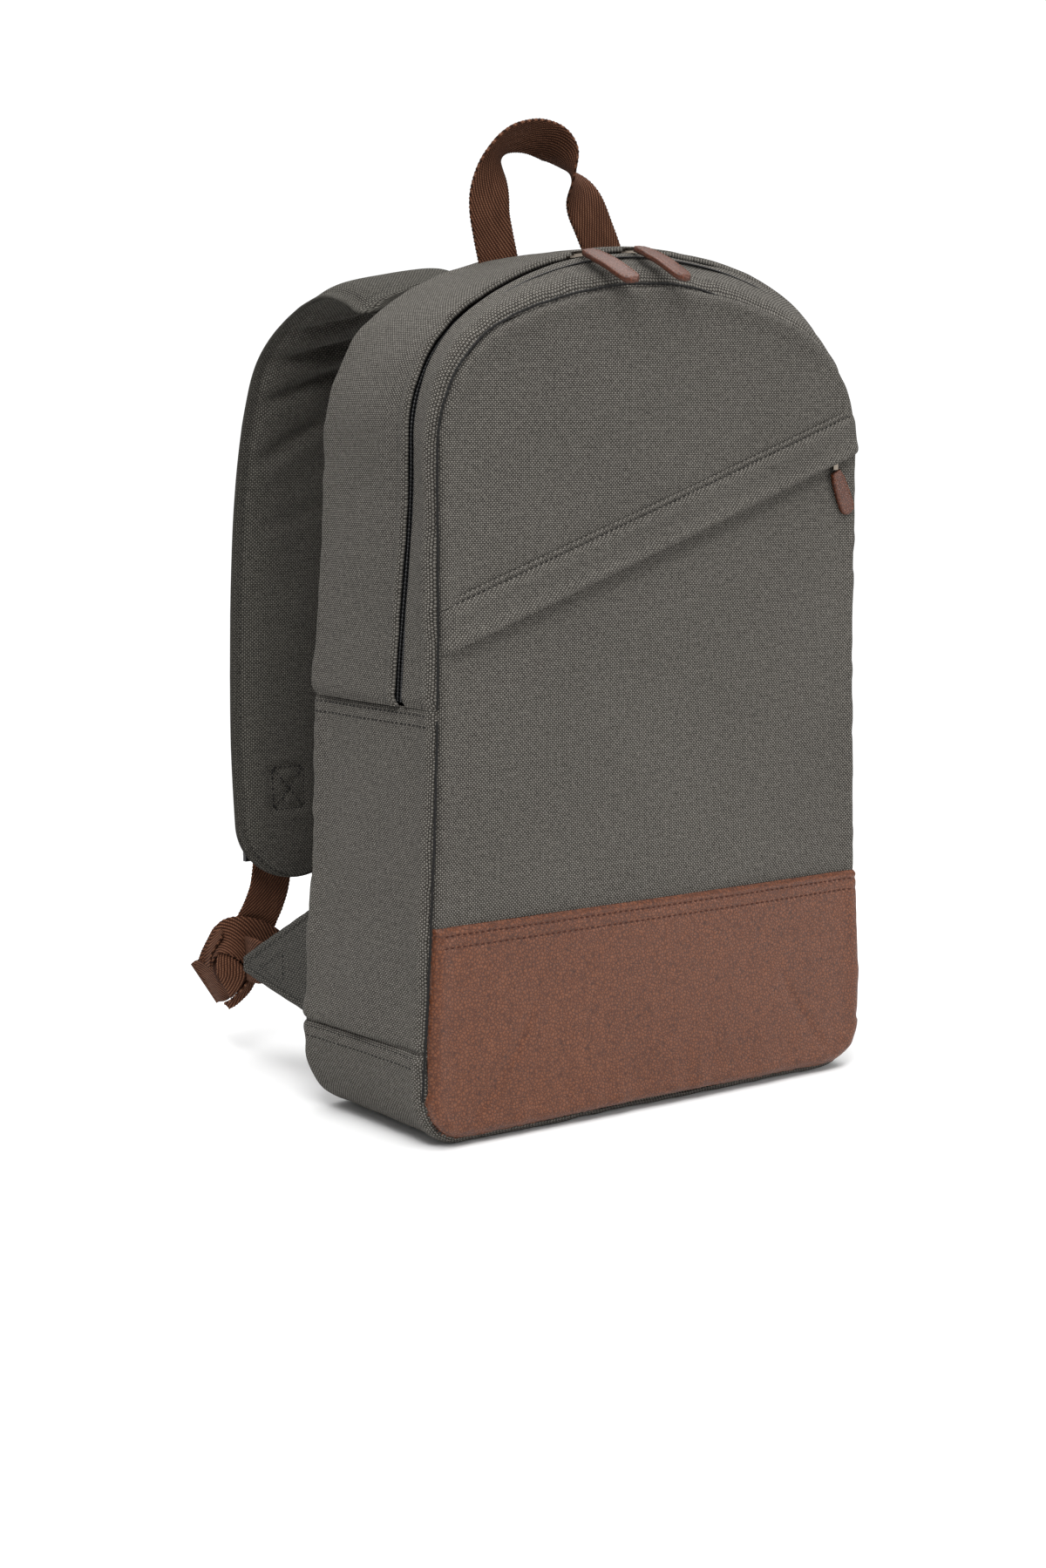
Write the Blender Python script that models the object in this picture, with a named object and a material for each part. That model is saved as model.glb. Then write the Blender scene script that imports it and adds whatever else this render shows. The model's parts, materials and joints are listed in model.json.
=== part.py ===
"""Canvas travel backpack with a faux leather base.

Frame: metres, +Z up, origin at the middle of the flat underside. The front
panel faces -Y, the back panel and the shoulder straps are on +Y, and +X is to
the right of someone who looks at the front. The pack stands on its bottom.
"""
import math

import bpy
import bmesh
from mathutils import Matrix, Vector

for _o in list(bpy.data.objects):
    bpy.data.objects.remove(_o, do_unlink=True)

MM = 0.001

# ---------------------------------------------------------------- driving sizes (mm)
GAP = 0.35               # air between sewn pieces
CANVAS = 2.2             # outer canvas with its lining and seam allowance
DEPTH_FRONT = -56.0      # y of the front panel's face
DEPTH_BACK = 54.0        # y of the back panel's face
Z_BOTTOM_SEAM = 49.0     # bottom panel wraps up to here
Z_SIDE_SEAM = 219.0      # side panel meets the zip gusset here
Z_LEATHER = 112.0        # top edge of the leather base panel
Z_FOLD = 216.5           # fold line of the front when the main zip is open
TRACK_R = 200.0          # radius of the main zip over the top
TRACK_TOP = 441.5        # inner face of the gusset at the top
TRACK_Z0 = TRACK_TOP - TRACK_R
CORNER_R = 75.0
GUSSET_HALF = 139.0      # inner half width of the gusset where it is straight
FRONT_R, FRONT_TOP, FRONT_CORNER, FRONT_HALF = 250.0, 427.0, 70.0, 138.5
SLIDER_LEFT_DEG, SLIDER_RIGHT_DEG = -9.4, 0.0
ZIP_Y = -24.0            # middle of the main zip chain
LIP_Y = -25.5            # free edge of the rain lip
WEB = 25.4               # webbing width
WEB_T = 1.6              # webbing thickness
STRAP_W = 75.0
KNOT = (125.5, 165.0, 57.0)  # middle of the tied spare webbing
STRAP_T = 13.0
POCKET_Z0, POCKET_SLOPE = 309.5, 0.35    # pocket zip line z = z0 + slope x
PLACKET_LOW, PLACKET_HIGH = -16.5, 7.0   # placket edges below and above the zip line


# ---------------------------------------------------------------- materials
def material(name, rgb, rough, metal=0.0):
    m = bpy.data.materials.new(name)
    m.use_nodes = True
    b = m.node_tree.nodes["Principled BSDF"]
    b.inputs["Base Color"].default_value = (*rgb, 1.0)
    b.inputs["Roughness"].default_value = rough
    b.inputs["Metallic"].default_value = metal
    m.diffuse_color = (*rgb, 1.0)
    return m


CANVAS_GREY = material("canvas_grey", (0.094, 0.088, 0.078), 0.9)
LEATHER_TAN = material("leather_tan", (0.19, 0.088, 0.052), 0.5)
WEBBING_TAN = material("webbing_tan", (0.16, 0.072, 0.045), 0.85)
LINING = material("lining", (0.05, 0.05, 0.048), 0.7)
FOAM = material("foam", (0.25, 0.25, 0.24), 0.95)
ZIP_TAPE = material("zip_tape", (0.02, 0.02, 0.02), 0.8)
ZIP_COIL = material("zip_coil", (0.03, 0.03, 0.03), 0.4)
METAL = material("antique_brass", (0.30, 0.24, 0.16), 0.35, 1.0)
PLASTIC = material("buckle_plastic", (0.02, 0.02, 0.02), 0.45)
HOOK_LOOP = material("hook_loop", (0.03, 0.03, 0.03), 0.95)


# ---------------------------------------------------------------- mesh helpers
def finish(name, bm, mat, smooth=False):
    bmesh.ops.recalc_face_normals(bm, faces=bm.faces)
    if bm.calc_volume(signed=True) < 0:
        bmesh.ops.reverse_faces(bm, faces=bm.faces)
    me = bpy.data.meshes.new(name)
    bm.to_mesh(me)
    bm.free()
    if smooth:
        me.shade_smooth()
        me.set_sharp_from_angle(angle=math.radians(35))
    me.materials.append(mat)
    ob = bpy.data.objects.new(name, me)
    bpy.context.scene.collection.objects.link(ob)
    return ob


def rings_solid(name, rings, mat, smooth=True):
    """A closed solid through rings of the same number of points (mm), capped at both ends."""
    bm = bmesh.new()
    vs = [[bm.verts.new(Vector(p) * MM) for p in r] for r in rings]
    n = len(rings[0])
    for a, b in zip(vs, vs[1:]):
        for i in range(n):
            bm.faces.new((a[i], a[(i + 1) % n], b[(i + 1) % n], b[i]))
    bm.faces.new(vs[0])
    bm.faces.new(vs[-1])
    return finish(name, bm, mat, smooth)


def sleeve_solid(name, outer, inner, mat):
    """A sleeve: outer and inner rings, open at the first ring and closed at the last."""
    bm = bmesh.new()
    vo = [[bm.verts.new(Vector(p) * MM) for p in r] for r in outer]
    vi = [[bm.verts.new(Vector(p) * MM) for p in r] for r in inner]
    n = len(outer[0])
    for vs in (vo, vi):
        for a, b in zip(vs, vs[1:]):
            for i in range(n):
                bm.faces.new((a[i], a[(i + 1) % n], b[(i + 1) % n], b[i]))
        bm.faces.new(vs[-1])
    for i in range(n):
        bm.faces.new((vo[0][i], vo[0][(i + 1) % n], vi[0][(i + 1) % n], vi[0][i]))
    return finish(name, bm, mat, True)


def plate(name, poly, axis, lo, hi, mat):
    """A flat plate: a polygon extruded along an axis from lo to hi (mm). poly holds the other two coordinates in X, Y, Z order."""
    bm = bmesh.new()

    def at(p, c):
        q = {"x": (c, p[0], p[1]), "y": (p[0], c, p[1]), "z": (p[0], p[1], c)}[axis]
        return bm.verts.new(Vector(q) * MM)

    face = bm.faces.new([at(p, lo) for p in poly])
    grown = bmesh.ops.extrude_face_region(bm, geom=[face])
    step = {"x": (1, 0, 0), "y": (0, 1, 0), "z": (0, 0, 1)}[axis]
    moved = [g for g in grown["geom"] if isinstance(g, bmesh.types.BMVert)]
    bmesh.ops.translate(bm, verts=moved, vec=Vector(step) * (hi - lo) * MM)
    return finish(name, bm, mat)


def box(name, lo, hi, mat, bevel=0.0):
    ob = plate(name, [(lo[0], lo[1]), (hi[0], lo[1]), (hi[0], hi[1]), (lo[0], hi[1])], "z", lo[2], hi[2], mat)
    if bevel:
        m = ob.modifiers.new("edges", "BEVEL")
        m.width = bevel * MM
        m.segments = 2
    return ob


def cut(ob, cutter):
    cutter.hide_render = True
    cutter.display_type = "WIRE"
    m = ob.modifiers.new("cut", "BOOLEAN")
    m.operation = "DIFFERENCE"
    m.object = cutter
    m.solver = "EXACT"


def clip(poly, nx, nz, d):
    """Keeps the part of a convex polygon where nx x + nz z <= d."""
    out = []
    for p, q in zip(poly, poly[1:] + poly[:1]):
        a, b = nx * p[0] + nz * p[1] - d, nx * q[0] + nz * q[1] - d
        if a <= 0:
            out.append(p)
        if (a < 0 < b) or (b < 0 < a):
            t = a / (a - b)
            out.append((p[0] + (q[0] - p[0]) * t, p[1] + (q[1] - p[1]) * t))
    return out


# ---------------------------------------------------------------- outlines
def arch(half, top, r_top, r_corner, z0, widen=0.0, z_wide=300.0, n_side=4, n_corner=7, n_top=18):
    """A three-centre arch from (-x, z0) over the top to (+x, z0), as ((x, z), (nx, nz)) with outward normals."""
    cx = half - r_corner
    dist = r_top - r_corner
    rise = math.sqrt(dist * dist - cx * cx)
    z_top0 = top - r_top
    zc = z_top0 + rise
    meet = math.atan2(cx, rise)
    right = []
    for i in range(n_side):
        z = z0 + (zc - z0) * i / n_side
        x = half + widen * max(0.0, (z_wide - z) / 250.0) ** 1.5
        right.append(((x, z), (1.0, 0.0)))
    for i in range(n_corner):
        a = math.pi / 2 - (math.pi / 2 - meet) * i / n_corner
        right.append(((cx + r_corner * math.sin(a), zc + r_corner * math.cos(a)), (math.sin(a), math.cos(a))))
    half_top = n_top // 2
    for i in range(half_top):
        a = meet * (1 - i / half_top)
        right.append(((r_top * math.sin(a), z_top0 + r_top * math.cos(a)), (math.sin(a), math.cos(a))))
    left = [((-p[0], p[1]), (-n[0], n[1])) for p, n in right]
    return left + [((0.0, top), (0.0, 1.0))] + right[::-1]


def gusset_path(z0, **kw):
    return arch(GUSSET_HALF, TRACK_TOP, TRACK_R, CORNER_R, z0, widen=12.0, **kw)


def front_path(z0, **kw):
    return arch(FRONT_HALF, FRONT_TOP, FRONT_R, FRONT_CORNER, z0, widen=12.5, z_wide=250.0, **kw)


def side_x(z):
    """Inner half width of the side walls at the back."""
    return GUSSET_HALF + 12.0 * max(0.0, (300.0 - z) / 250.0) ** 1.5


def front_x(z):
    """Half width of the front panel; the side walls narrow towards it."""
    return FRONT_HALF + 12.5 * max(0.0, (250.0 - z) / 250.0) ** 1.5


def swept(name, path, section, mat):
    """Sweeps a section of (y, n) points along an outline, n outward from it."""
    rings = [[(p[0] + nn * m[0], y, p[1] + nn * m[1]) for y, nn in section] for p, m in path]
    return rings_solid(name, rings, mat)


# ================================================================ body: bag
full = [p for p, _ in arch(GUSSET_HALF + 2.5, TRACK_TOP + 2.5, TRACK_R + 2.5, CORNER_R + 2.5, 60.0, widen=12.0, n_side=3, n_corner=5, n_top=8)]
R_B, R_F = 36.0, 26.0    # bottom corner radii at the back and at the front
W_B = side_x(Z_BOTTOM_SEAM) + 2.2


def bottom_corner(sx, r, w, n=5):
    pts = []
    for i in range(n + 1):
        a = (math.pi / 2) * i / n
        pts.append((sx * (w - r + r * math.sin(a)), r - r * math.cos(a)))
    return pts


def whole_outline(inset):
    """Closed outline of the pack seen from the front, inset by some mm."""
    top = [p for p, _ in arch(GUSSET_HALF + 2.5 - inset, TRACK_TOP + 2.5 - inset, TRACK_R + 2.5 - inset,
                              CORNER_R + 2.5 - inset, 60.0, widen=12.0, n_side=3, n_corner=5, n_top=8)]
    rc = [(x, z + inset) for x, z in bottom_corner(1, R_B - min(inset, 6.0), W_B - inset)]
    lc = [(x, z + inset) for x, z in bottom_corner(-1, R_B - min(inset, 6.0), W_B - inset)]
    return top + rc[::-1] + lc


plate("back_panel", whole_outline(0.3), "y", DEPTH_BACK - 2.0, DEPTH_BACK, CANVAS_GREY)
plate("back_foam", whole_outline(6.0), "y", DEPTH_BACK - 2.0 - GAP - 5.0, DEPTH_BACK - 2.0 - GAP, FOAM)
plate("back_lining", whole_outline(4.0), "y", DEPTH_BACK - 2.0 - 2 * GAP - 5.8, DEPTH_BACK - 2.0 - 2 * GAP - 5.0, LINING)
Y_BACK_IN = DEPTH_BACK - 2.0 - GAP          # gusset, side and bottom panels end here

# bottom panel: a trough whose ends wrap up to the bottom seam; it narrows towards the front
Y_FRONT_IN = DEPTH_FRONT + 2.0 + GAP
W_F = front_x(Z_BOTTOM_SEAM) + 0.3


def trough(w, r):
    pts = [((-w, Z_BOTTOM_SEAM - GAP), (-1.0, 0.0))]
    for i in range(7):
        a = math.pi / 2 * (1 - i / 6)
        pts.append(((-(w - r + r * math.sin(a)), r - r * math.cos(a)), (-math.sin(a), -math.cos(a))))
    pts += [((-60.0, 0.0), (0.0, -1.0)), ((60.0, 0.0), (0.0, -1.0))]
    return pts + [((-p[0], p[1]), (-n[0], n[1])) for p, n in pts[-3::-1]]


rings = []
for (pf, nf), (pb, nb) in zip(trough(W_F, R_F), trough(W_B, R_B)):
    rings.append([(pf[0], Y_FRONT_IN, pf[1]), (pb[0], Y_BACK_IN - 7.5, pb[1]),
                  (pb[0] - CANVAS * nb[0], Y_BACK_IN - 7.5, pb[1] - CANVAS * nb[1]),
                  (pf[0] - CANVAS * nf[0], Y_FRONT_IN, pf[1] - CANVAS * nf[1])])
rings_solid("bottom_panel", rings, CANVAS_GREY)

# side panels
for sx, side in ((-1, "left"), (1, "right")):
    rings = []
    for z in (Z_BOTTOM_SEAM, 90.0, 130.0, 175.0, Z_SIDE_SEAM - GAP):
        xf, xb = front_x(z) + 0.3, side_x(z) + 2.2
        rings.append([(sx * xf, Y_FRONT_IN, z), (sx * xb, Y_BACK_IN - 7.5, z),
                      (sx * (xb - CANVAS), Y_BACK_IN - 7.5, z), (sx * (xf - CANVAS), Y_FRONT_IN, z)])
    rings_solid(f"side_panel_{side}", rings, CANVAS_GREY)

# rear gusset: the wide arch behind the main zip, its front edge folded into a raised rain lip
lip_section = [(LIP_Y, 3.0), (LIP_Y, 4.6), (LIP_Y + 7.0, 4.9), (LIP_Y + 12.0, 2.5), (Y_BACK_IN - 7.5, 2.5),
               (Y_BACK_IN - 7.5, 0.0), (LIP_Y + 13.0, 0.0), (LIP_Y + 8.0, 3.0)]
swept("rear_gusset", gusset_path(Z_SIDE_SEAM), lip_section, CANVAS_GREY)

# main zip, rear half
Z_ZIP = Z_SIDE_SEAM + 2.0
fine = dict(n_top=34)
swept("main_zip_tape_rear", gusset_path(Z_ZIP, **fine), [(ZIP_Y + 2.9, -1.4), (ZIP_Y + 2.9, -0.5), (ZIP_Y + 16.0, -0.5), (ZIP_Y + 16.0, -1.4)], ZIP_TAPE)
swept("main_zip_coil_rear", gusset_path(Z_ZIP, **fine), [(ZIP_Y + 0.6, -2.2), (ZIP_Y + 0.6, -0.1), (ZIP_Y + 2.6, -0.1), (ZIP_Y + 2.6, -2.2)], ZIP_COIL)


# front below the fold: leather base and the strip of canvas above it
def front_outline():
    top = [p for p, _ in front_path(60.0, n_side=6, n_corner=6, n_top=8)]
    w = top[-1][0]
    rc = [(x, z + 1.2) for x, z in bottom_corner(1, 24.0, w + 0.5)]
    lc = [(x, z + 1.2) for x, z in bottom_corner(-1, 24.0, w + 0.5)]
    return top + rc[::-1] + lc


FRONT = front_outline()
plate("leather_base_panel", clip(FRONT, 0, 1, Z_LEATHER), "y", DEPTH_FRONT - 0.6, DEPTH_FRONT + 2.0, LEATHER_TAN)
plate("front_lower_panel", clip(clip(FRONT, 0, 1, Z_FOLD - GAP), 0, -1, -(Z_LEATHER + GAP)), "y", DEPTH_FRONT, DEPTH_FRONT + 2.0, CANVAS_GREY)

# inside: laptop sleeve against the back, closed by a hook-and-loop tab
SLEEVE_Y = 26.0
sleeve = [(-124.0, 8.0), (124.0, 8.0), (124.0, 286.0), (112.0, 298.0), (-112.0, 298.0), (-124.0, 286.0)]
plate("laptop_sleeve", sleeve, "y", SLEEVE_Y, SLEEVE_Y + 2.4, LINING)
plate("sleeve_bottom_hem", [(SLEEVE_Y + 2.4 + GAP, 8.0), (DEPTH_BACK - 9.4, 8.0), (DEPTH_BACK - 9.4, 10.0), (SLEEVE_Y + 2.4 + GAP, 10.0)], "x", -120.0, 120.0, LINING)
for sx, side in ((-1, "left"), (1, "right")):
    a, b = sorted((sx * 120.4, sx * 123.6))
    box(f"sleeve_side_{side}", (a, SLEEVE_Y + 2.4 + GAP, 10.0 + GAP), (b, DEPTH_BACK - 9.4, 286.0), LINING)
box("hook_patch", (-14.0, SLEEVE_Y - 1.6 - GAP, 262.0), (14.0, SLEEVE_Y - GAP, 290.0), HOOK_LOOP)

# triangular corner tabs that anchor the webbing
for sx, side in ((-1, "left"), (1, "right")):
    a, b = sorted((sx * 139.5, sx * 143.5))
    plate(f"corner_tab_{side}", [(DEPTH_BACK + GAP, 46.0), (128.0, 59.0), (128.0, 66.0), (DEPTH_BACK + GAP, 108.0)], "x", a, b, CANVAS_GREY)
    # webbing sewn on the tab's inner face, then the tied spare webbing with its hemmed end
    yz = [(106.0, -138.4), (124.0, -138.4), (134.0, -136.6), (140.0, -134.4)]
    rings = []
    for y, x in yz:
        h = 12.5 if y > 110 else 11.0
        zc = 64.0 + (y - 106.0) * -0.05
        rings.append([(sx * -(x - 0.7), y, zc - h), (sx * -(x + 0.7), y, zc - h), (sx * -(x + 0.7), y, zc + h), (sx * -(x - 0.7), y, zc + h)])
    rings_solid(f"anchor_webbing_{side}", rings, WEBBING_TAN)
    cx, cy, cz = sx * KNOT[0], KNOT[1], KNOT[2]
    rings = []
    for i in range(7):
        t = -1 + 2 * i / 6
        k = math.sqrt(max(0.0, 1 - (abs(t) * 0.93) ** 2.6))
        rings.append([(cx + 24.0 * k * math.cos(u), cy + 20.0 * k * math.sin(u), cz + 26.0 * t)
                      for u in [2 * math.pi * j / 12 for j in range(12)]])
    lump = rings_solid(f"webbing_knot_{side}", rings, WEBBING_TAN)
    tail = [(0.0, 0.0, -2.0), (4.0, 18.0, -10.0), (7.0, 36.0, -20.0), (8.0, 52.0, -29.0)]
    rings = []
    for dx, dy, dz in tail:
        w = Vector((0, -0.55, -0.83)) * (WEB / 2)
        n = Vector((1, 0, 0)) * 1.6
        c_ = Vector((cx + sx * dx * -0.3, cy + dy, cz + dz))
        rings.append([tuple(c_ + w - n), tuple(c_ + w + n), tuple(c_ - w + n), tuple(c_ - w - n)])
    tail_ob = rings_solid(f"tail_{side}", rings, WEBBING_TAN)
    tail_ob.hide_render = True
    tail_ob.display_type = "WIRE"
    m = lump.modifiers.new("tail", "BOOLEAN")
    m.operation = "UNION"
    m.object = tail_ob
    m.solver = "EXACT"

# ================================================================ body: front_flap
Z_F = Z_FOLD
upper_all = clip(FRONT, 0, -1, -Z_F)
c = math.cos(math.atan(POCKET_SLOPE))
nx, nz = -POCKET_SLOPE * c, c                # unit normal of the pocket zip line, pointing up
d0 = nz * POCKET_Z0
SLOT = 5.4                                   # half width of the slot the slider runs in
front_upper = clip(upper_all, -nx, -nz, -(d0 + SLOT))
front_pocket = clip(upper_all, nx, nz, d0 - SLOT)
plate("front_upper_panel", front_upper, "y", DEPTH_FRONT, DEPTH_FRONT + 2.0, CANVAS_GREY)
plate("front_pocket_panel", front_pocket, "y", DEPTH_FRONT, DEPTH_FRONT + 2.0, CANVAS_GREY)
placket = clip(clip(upper_all, -nx, -nz, -(d0 + PLACKET_LOW)), nx, nz, d0 + PLACKET_HIGH)
placket = clip(clip(placket, 1, 0, 134.0), -1, 0, 134.0)
plate("pocket_placket", placket, "y", DEPTH_FRONT - 6.4, DEPTH_FRONT - 4.8, CANVAS_GREY)
web = clip(clip(clip(clip(upper_all, -nx, -nz, -(d0 + SLOT)), nx, nz, d0 + PLACKET_HIGH), 1, 0, 134.0), -1, 0, 134.0)
plate("placket_seam", web, "y", DEPTH_FRONT - 4.8 + GAP, DEPTH_FRONT - GAP, CANVAS_GREY)

# pocket zip: two tapes and two coils behind the slot
def band(lo, hi, x0, x1):
    p = clip(clip(upper_all, -nx, -nz, -(d0 + lo)), nx, nz, d0 + hi)
    return clip(clip(p, 1, 0, x1), -1, 0, -x0)


X0P, X1P = -132.0, 128.0
plate("pocket_zip_tape_upper", band(1.9, 13.0, X0P, X1P), "y", DEPTH_FRONT + 2.0 + GAP, DEPTH_FRONT + 3.1, ZIP_TAPE)
plate("pocket_zip_tape_lower", band(-13.0, -1.9, X0P, X1P), "y", DEPTH_FRONT + 2.0 + GAP, DEPTH_FRONT + 3.1, ZIP_TAPE)
plate("pocket_zip_coil_upper", band(0.5, 2.3, X0P, X1P), "y", DEPTH_FRONT + 0.2, DEPTH_FRONT + 1.9, ZIP_COIL)
plate("pocket_zip_coil_lower", band(-2.3, -0.5, X0P, X1P), "y", DEPTH_FRONT + 0.2, DEPTH_FRONT + 1.9, ZIP_COIL)
lin = [p for p, _ in arch(FRONT_HALF - 5.0, FRONT_TOP - 6.0, FRONT_R, FRONT_CORNER, Z_F + 3.0, n_side=2, n_corner=5, n_top=6)]
plate("pocket_lining", lin, "y", DEPTH_FRONT + 8.0, DEPTH_FRONT + 8.8, LINING)

# front gusset: the narrow arch between the front seam and the zip
fp = front_path(Z_SIDE_SEAM, n_top=26)
gp = gusset_path(Z_SIDE_SEAM, n_top=26)
Y_A, Y_B = DEPTH_FRONT + 2.0 + GAP, ZIP_Y - 5.2


def loft(name, y_a, y_b, n_a, n_b, thick, mat):
    rings = []
    for (pf, nf), (pg, ng) in zip(fp, gp):
        def at(y, off):
            s = (y - Y_A) / (Y_B - Y_A)
            n = Vector(nf).lerp(Vector(ng), s).normalized()
            p = Vector(pf).lerp(Vector(pg), s) + n * off
            return (p[0], y, p[1])
        rings.append([at(y_a, n_a), at(y_b, n_b), at(y_b, n_b - thick), at(y_a, n_a - thick)])
    return rings_solid(name, rings, mat)


loft("front_gusset", Y_A, Y_B, 1.8, 2.0, 1.8, CANVAS_GREY)
tape_rings = []
for (pf, nf), (pg, ng) in zip(fp, gp):
    def tape_at(y, off):
        s = min(1.0, (y - Y_A) / (Y_B - Y_A))
        n = Vector(nf).lerp(Vector(ng), s).normalized()
        p = Vector(pf).lerp(Vector(pg), s) + n * off
        return (p[0], y, p[1])
    tape_rings.append([tape_at(Y_B - 9.0, -0.35), tape_at(Y_B, -0.35), tape_at(ZIP_Y - 2.9, -0.5), tape_at(ZIP_Y - 2.9, -1.3), tape_at(Y_B, -1.25), tape_at(Y_B - 9.0, -1.25)])
rings_solid("main_zip_tape_front", tape_rings, ZIP_TAPE)
swept("main_zip_coil_front", gusset_path(Z_ZIP, **fine), [(ZIP_Y - 2.6, -2.2), (ZIP_Y - 2.6, -0.1), (ZIP_Y - 0.6, -0.1), (ZIP_Y - 0.6, -2.2)], ZIP_COIL)


# ================================================================ zip sliders and pulls
def union(parts, name, mat):
    """Joins overlapping boxes into one solid."""
    base = parts[0]
    for p in parts[1:]:
        p.hide_render = True
        p.display_type = "WIRE"
        m = base.modifiers.new("join", "BOOLEAN")
        m.operation = "UNION"
        m.object = p
        m.solver = "EXACT"
    base.name = name
    return base


def place(obs, matrix):
    for o in obs:
        o.matrix_world = matrix


def main_slider(side, deg, skew):
    """Slider plates above and below the chain joined by a post in the gap, a bail and a link; the leather pull hangs on the link.
    Local frame: x along the track, y front to back, z outward from the track's centre line."""
    a = math.radians(deg)
    frame = Matrix.Translation(Vector((TRACK_R * math.sin(a), ZIP_Y, TRACK_Z0 + TRACK_R * math.cos(a))) * MM) @ Matrix.Rotation(a, 4, "Y")
    top = box("s1", (-5.5, -4.6, 0.9), (5.5, 4.4, 2.0), METAL)
    low = box("s2", (-5.5, -4.6, -4.2), (5.5, 4.4, -3.2), METAL)
    post = box("s3", (-4.5, -0.28, -3.6), (-0.5, 0.28, 1.4), METAL)
    bail = box("s4", (-2.6, -4.3, 1.4), (2.6, -2.1, 3.8), METAL)
    link = box("s5", (-1.8, -10.6, 2.6), (1.8, -3.0, 3.8), METAL)
    parts = [top, low, post, bail, link]
    place(parts, frame)
    union(parts, f"slider_{side}", METAL)
    # leather pull: slopes down towards the front, rounded at its end
    w, length, thick = 5.6, 42.0, 3.2
    pts = [(-3.4, -1.1), (-w + 0.6, -6.0), (-w, -14.0)]
    pts += [(-w * math.cos(t), -(length - w) - w * math.sin(t)) for t in [math.pi * k / 8 for k in range(9)]]
    pts += [(w, -14.0), (w - 0.6, -6.0), (3.4, -1.1)]
    pull = plate(f"pull_{side}", pts, "z", -thick / 2, thick / 2, LEATHER_TAN)
    pull.matrix_world = frame @ Matrix.Translation(Vector((0, -11.0, 3.2)) * MM) @ Matrix.Rotation(math.radians(12.0), 4, "X") @ Matrix.Rotation(math.radians(skew), 4, "Z")


main_slider("left", SLIDER_LEFT_DEG, -4.0)
main_slider("right", SLIDER_RIGHT_DEG, -0.5)

# pocket slider at the right end of its zip; local x along the zip, z up and square to it, y front to back
xs = 117.0
pf = Matrix.Translation(Vector((xs, DEPTH_FRONT + 1.05, POCKET_Z0 + POCKET_SLOPE * xs)) * MM) @ Matrix.Rotation(-math.atan(POCKET_SLOPE), 4, "Y")
front_pl = box("p1", (-5.2, -3.0, -4.6), (5.2, -1.4, 4.6), METAL)
back_pl = box("p2", (-5.2, 2.9, -4.2), (5.2, 3.9, 4.2), METAL)
ppost = box("p3", (0.6, -2.2, -0.22), (4.4, 3.4, 0.22), METAL)
plink = box("p4", (-1.6, -4.1, -18.3), (1.6, -2.6, 1.6), METAL)
place([front_pl, back_pl, ppost], pf)
link_frame = Matrix.Translation(Vector((xs + 1.0, DEPTH_FRONT + 1.05, POCKET_Z0 + POCKET_SLOPE * xs)) * MM)
plink.matrix_world = link_frame
union([front_pl, back_pl, ppost, plink], "pocket_slider", METAL)
w = 5.2
PULL_Z = POCKET_Z0 + POCKET_SLOPE * xs - 18.6
pts = [(-3.0, -0.9), (-w, -6.0)] + [(-w * math.cos(t), -(26.0 - w) - w * math.sin(t)) for t in [math.pi * k / 8 for k in range(9)]] + [(w, -6.0), (3.0, -0.9)]
pull = plate("pocket_pull", pts, "y", -1.4, 1.4, LEATHER_TAN)
# the pull leans towards the corner of the panel
pull.matrix_world = Matrix.Translation(Vector((xs + 1.0, DEPTH_FRONT - 2.3, PULL_Z)) * MM) @ Matrix.Rotation(math.radians(-26.0), 4, "Y")

# ================================================================ grab handle
def smooth_curve(points, n):
    """Catmull-Rom through points, n samples in all."""
    P = [Vector(p) for p in points]
    P = [P[0] * 2 - P[1]] + P + [P[-1] * 2 - P[-2]]
    segs = len(P) - 3
    out = []
    for i in range(n):
        t = segs * i / (n - 1)
        k = min(int(t), segs - 1)
        u = t - k
        a, b, c_, d = P[k], P[k + 1], P[k + 2], P[k + 3]
        out.append(0.5 * ((2 * b) + (c_ - a) * u + (2 * a - 5 * b + 4 * c_ - d) * u * u + (3 * b - a - 3 * c_ + d) * u ** 3))
    return out


HANDLE_Y, HANDLE_Z = 42.0, 445.0
loop = [(-32.5, 0), (-35.2, 11.0), (-37.6, 23.0), (-37.2, 36.0), (-35.0, 47.5), (-30.5, 56.0), (-22.9, 61.2), (-11.1, 63.2), (0.8, 61.2), (8.8, 55.3), (15.1, 45.6), (20.2, 37.5), (25.7, 27.9), (30.2, 20.1), (36.0, 9.0), (40.0, 0)]
mid = smooth_curve([(x, HANDLE_Y, HANDLE_Z + z) for x, z in loop], 35)
rings = []
for i, p in enumerate(mid):
    t = (mid[min(i + 1, len(mid) - 1)] - mid[max(i - 1, 0)]).normalized()
    s = i / (len(mid) - 1)
    k = min(1.0, max(0.0, (min(s, 1 - s) - 0.17) / 0.28))
    k = k * k * (3 - 2 * k) * math.pi / 2
    # the width runs along x on the legs; over the top it runs front to back and leans down to the back
    width = Vector((math.cos(k), 0.8 * math.sin(k), -0.6 * math.sin(k)))
    width = (width - t * width.dot(t)).normalized() if 0 < i < len(mid) - 1 else Vector((width.x, 0, 0)).normalized()
    n = t.cross(width).normalized()
    if i in (0, len(mid) - 1):
        n = Vector((0, 1 if i == 0 else -1, 0))
    rings.append([tuple(p + width * (sx * WEB / 2) + n * (sn * WEB_T / 2)) for sx, sn in ((-1, -1), (1, -1), (1, 1), (-1, 1))])
rings_solid("grab_handle", rings, WEBBING_TAN)

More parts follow.
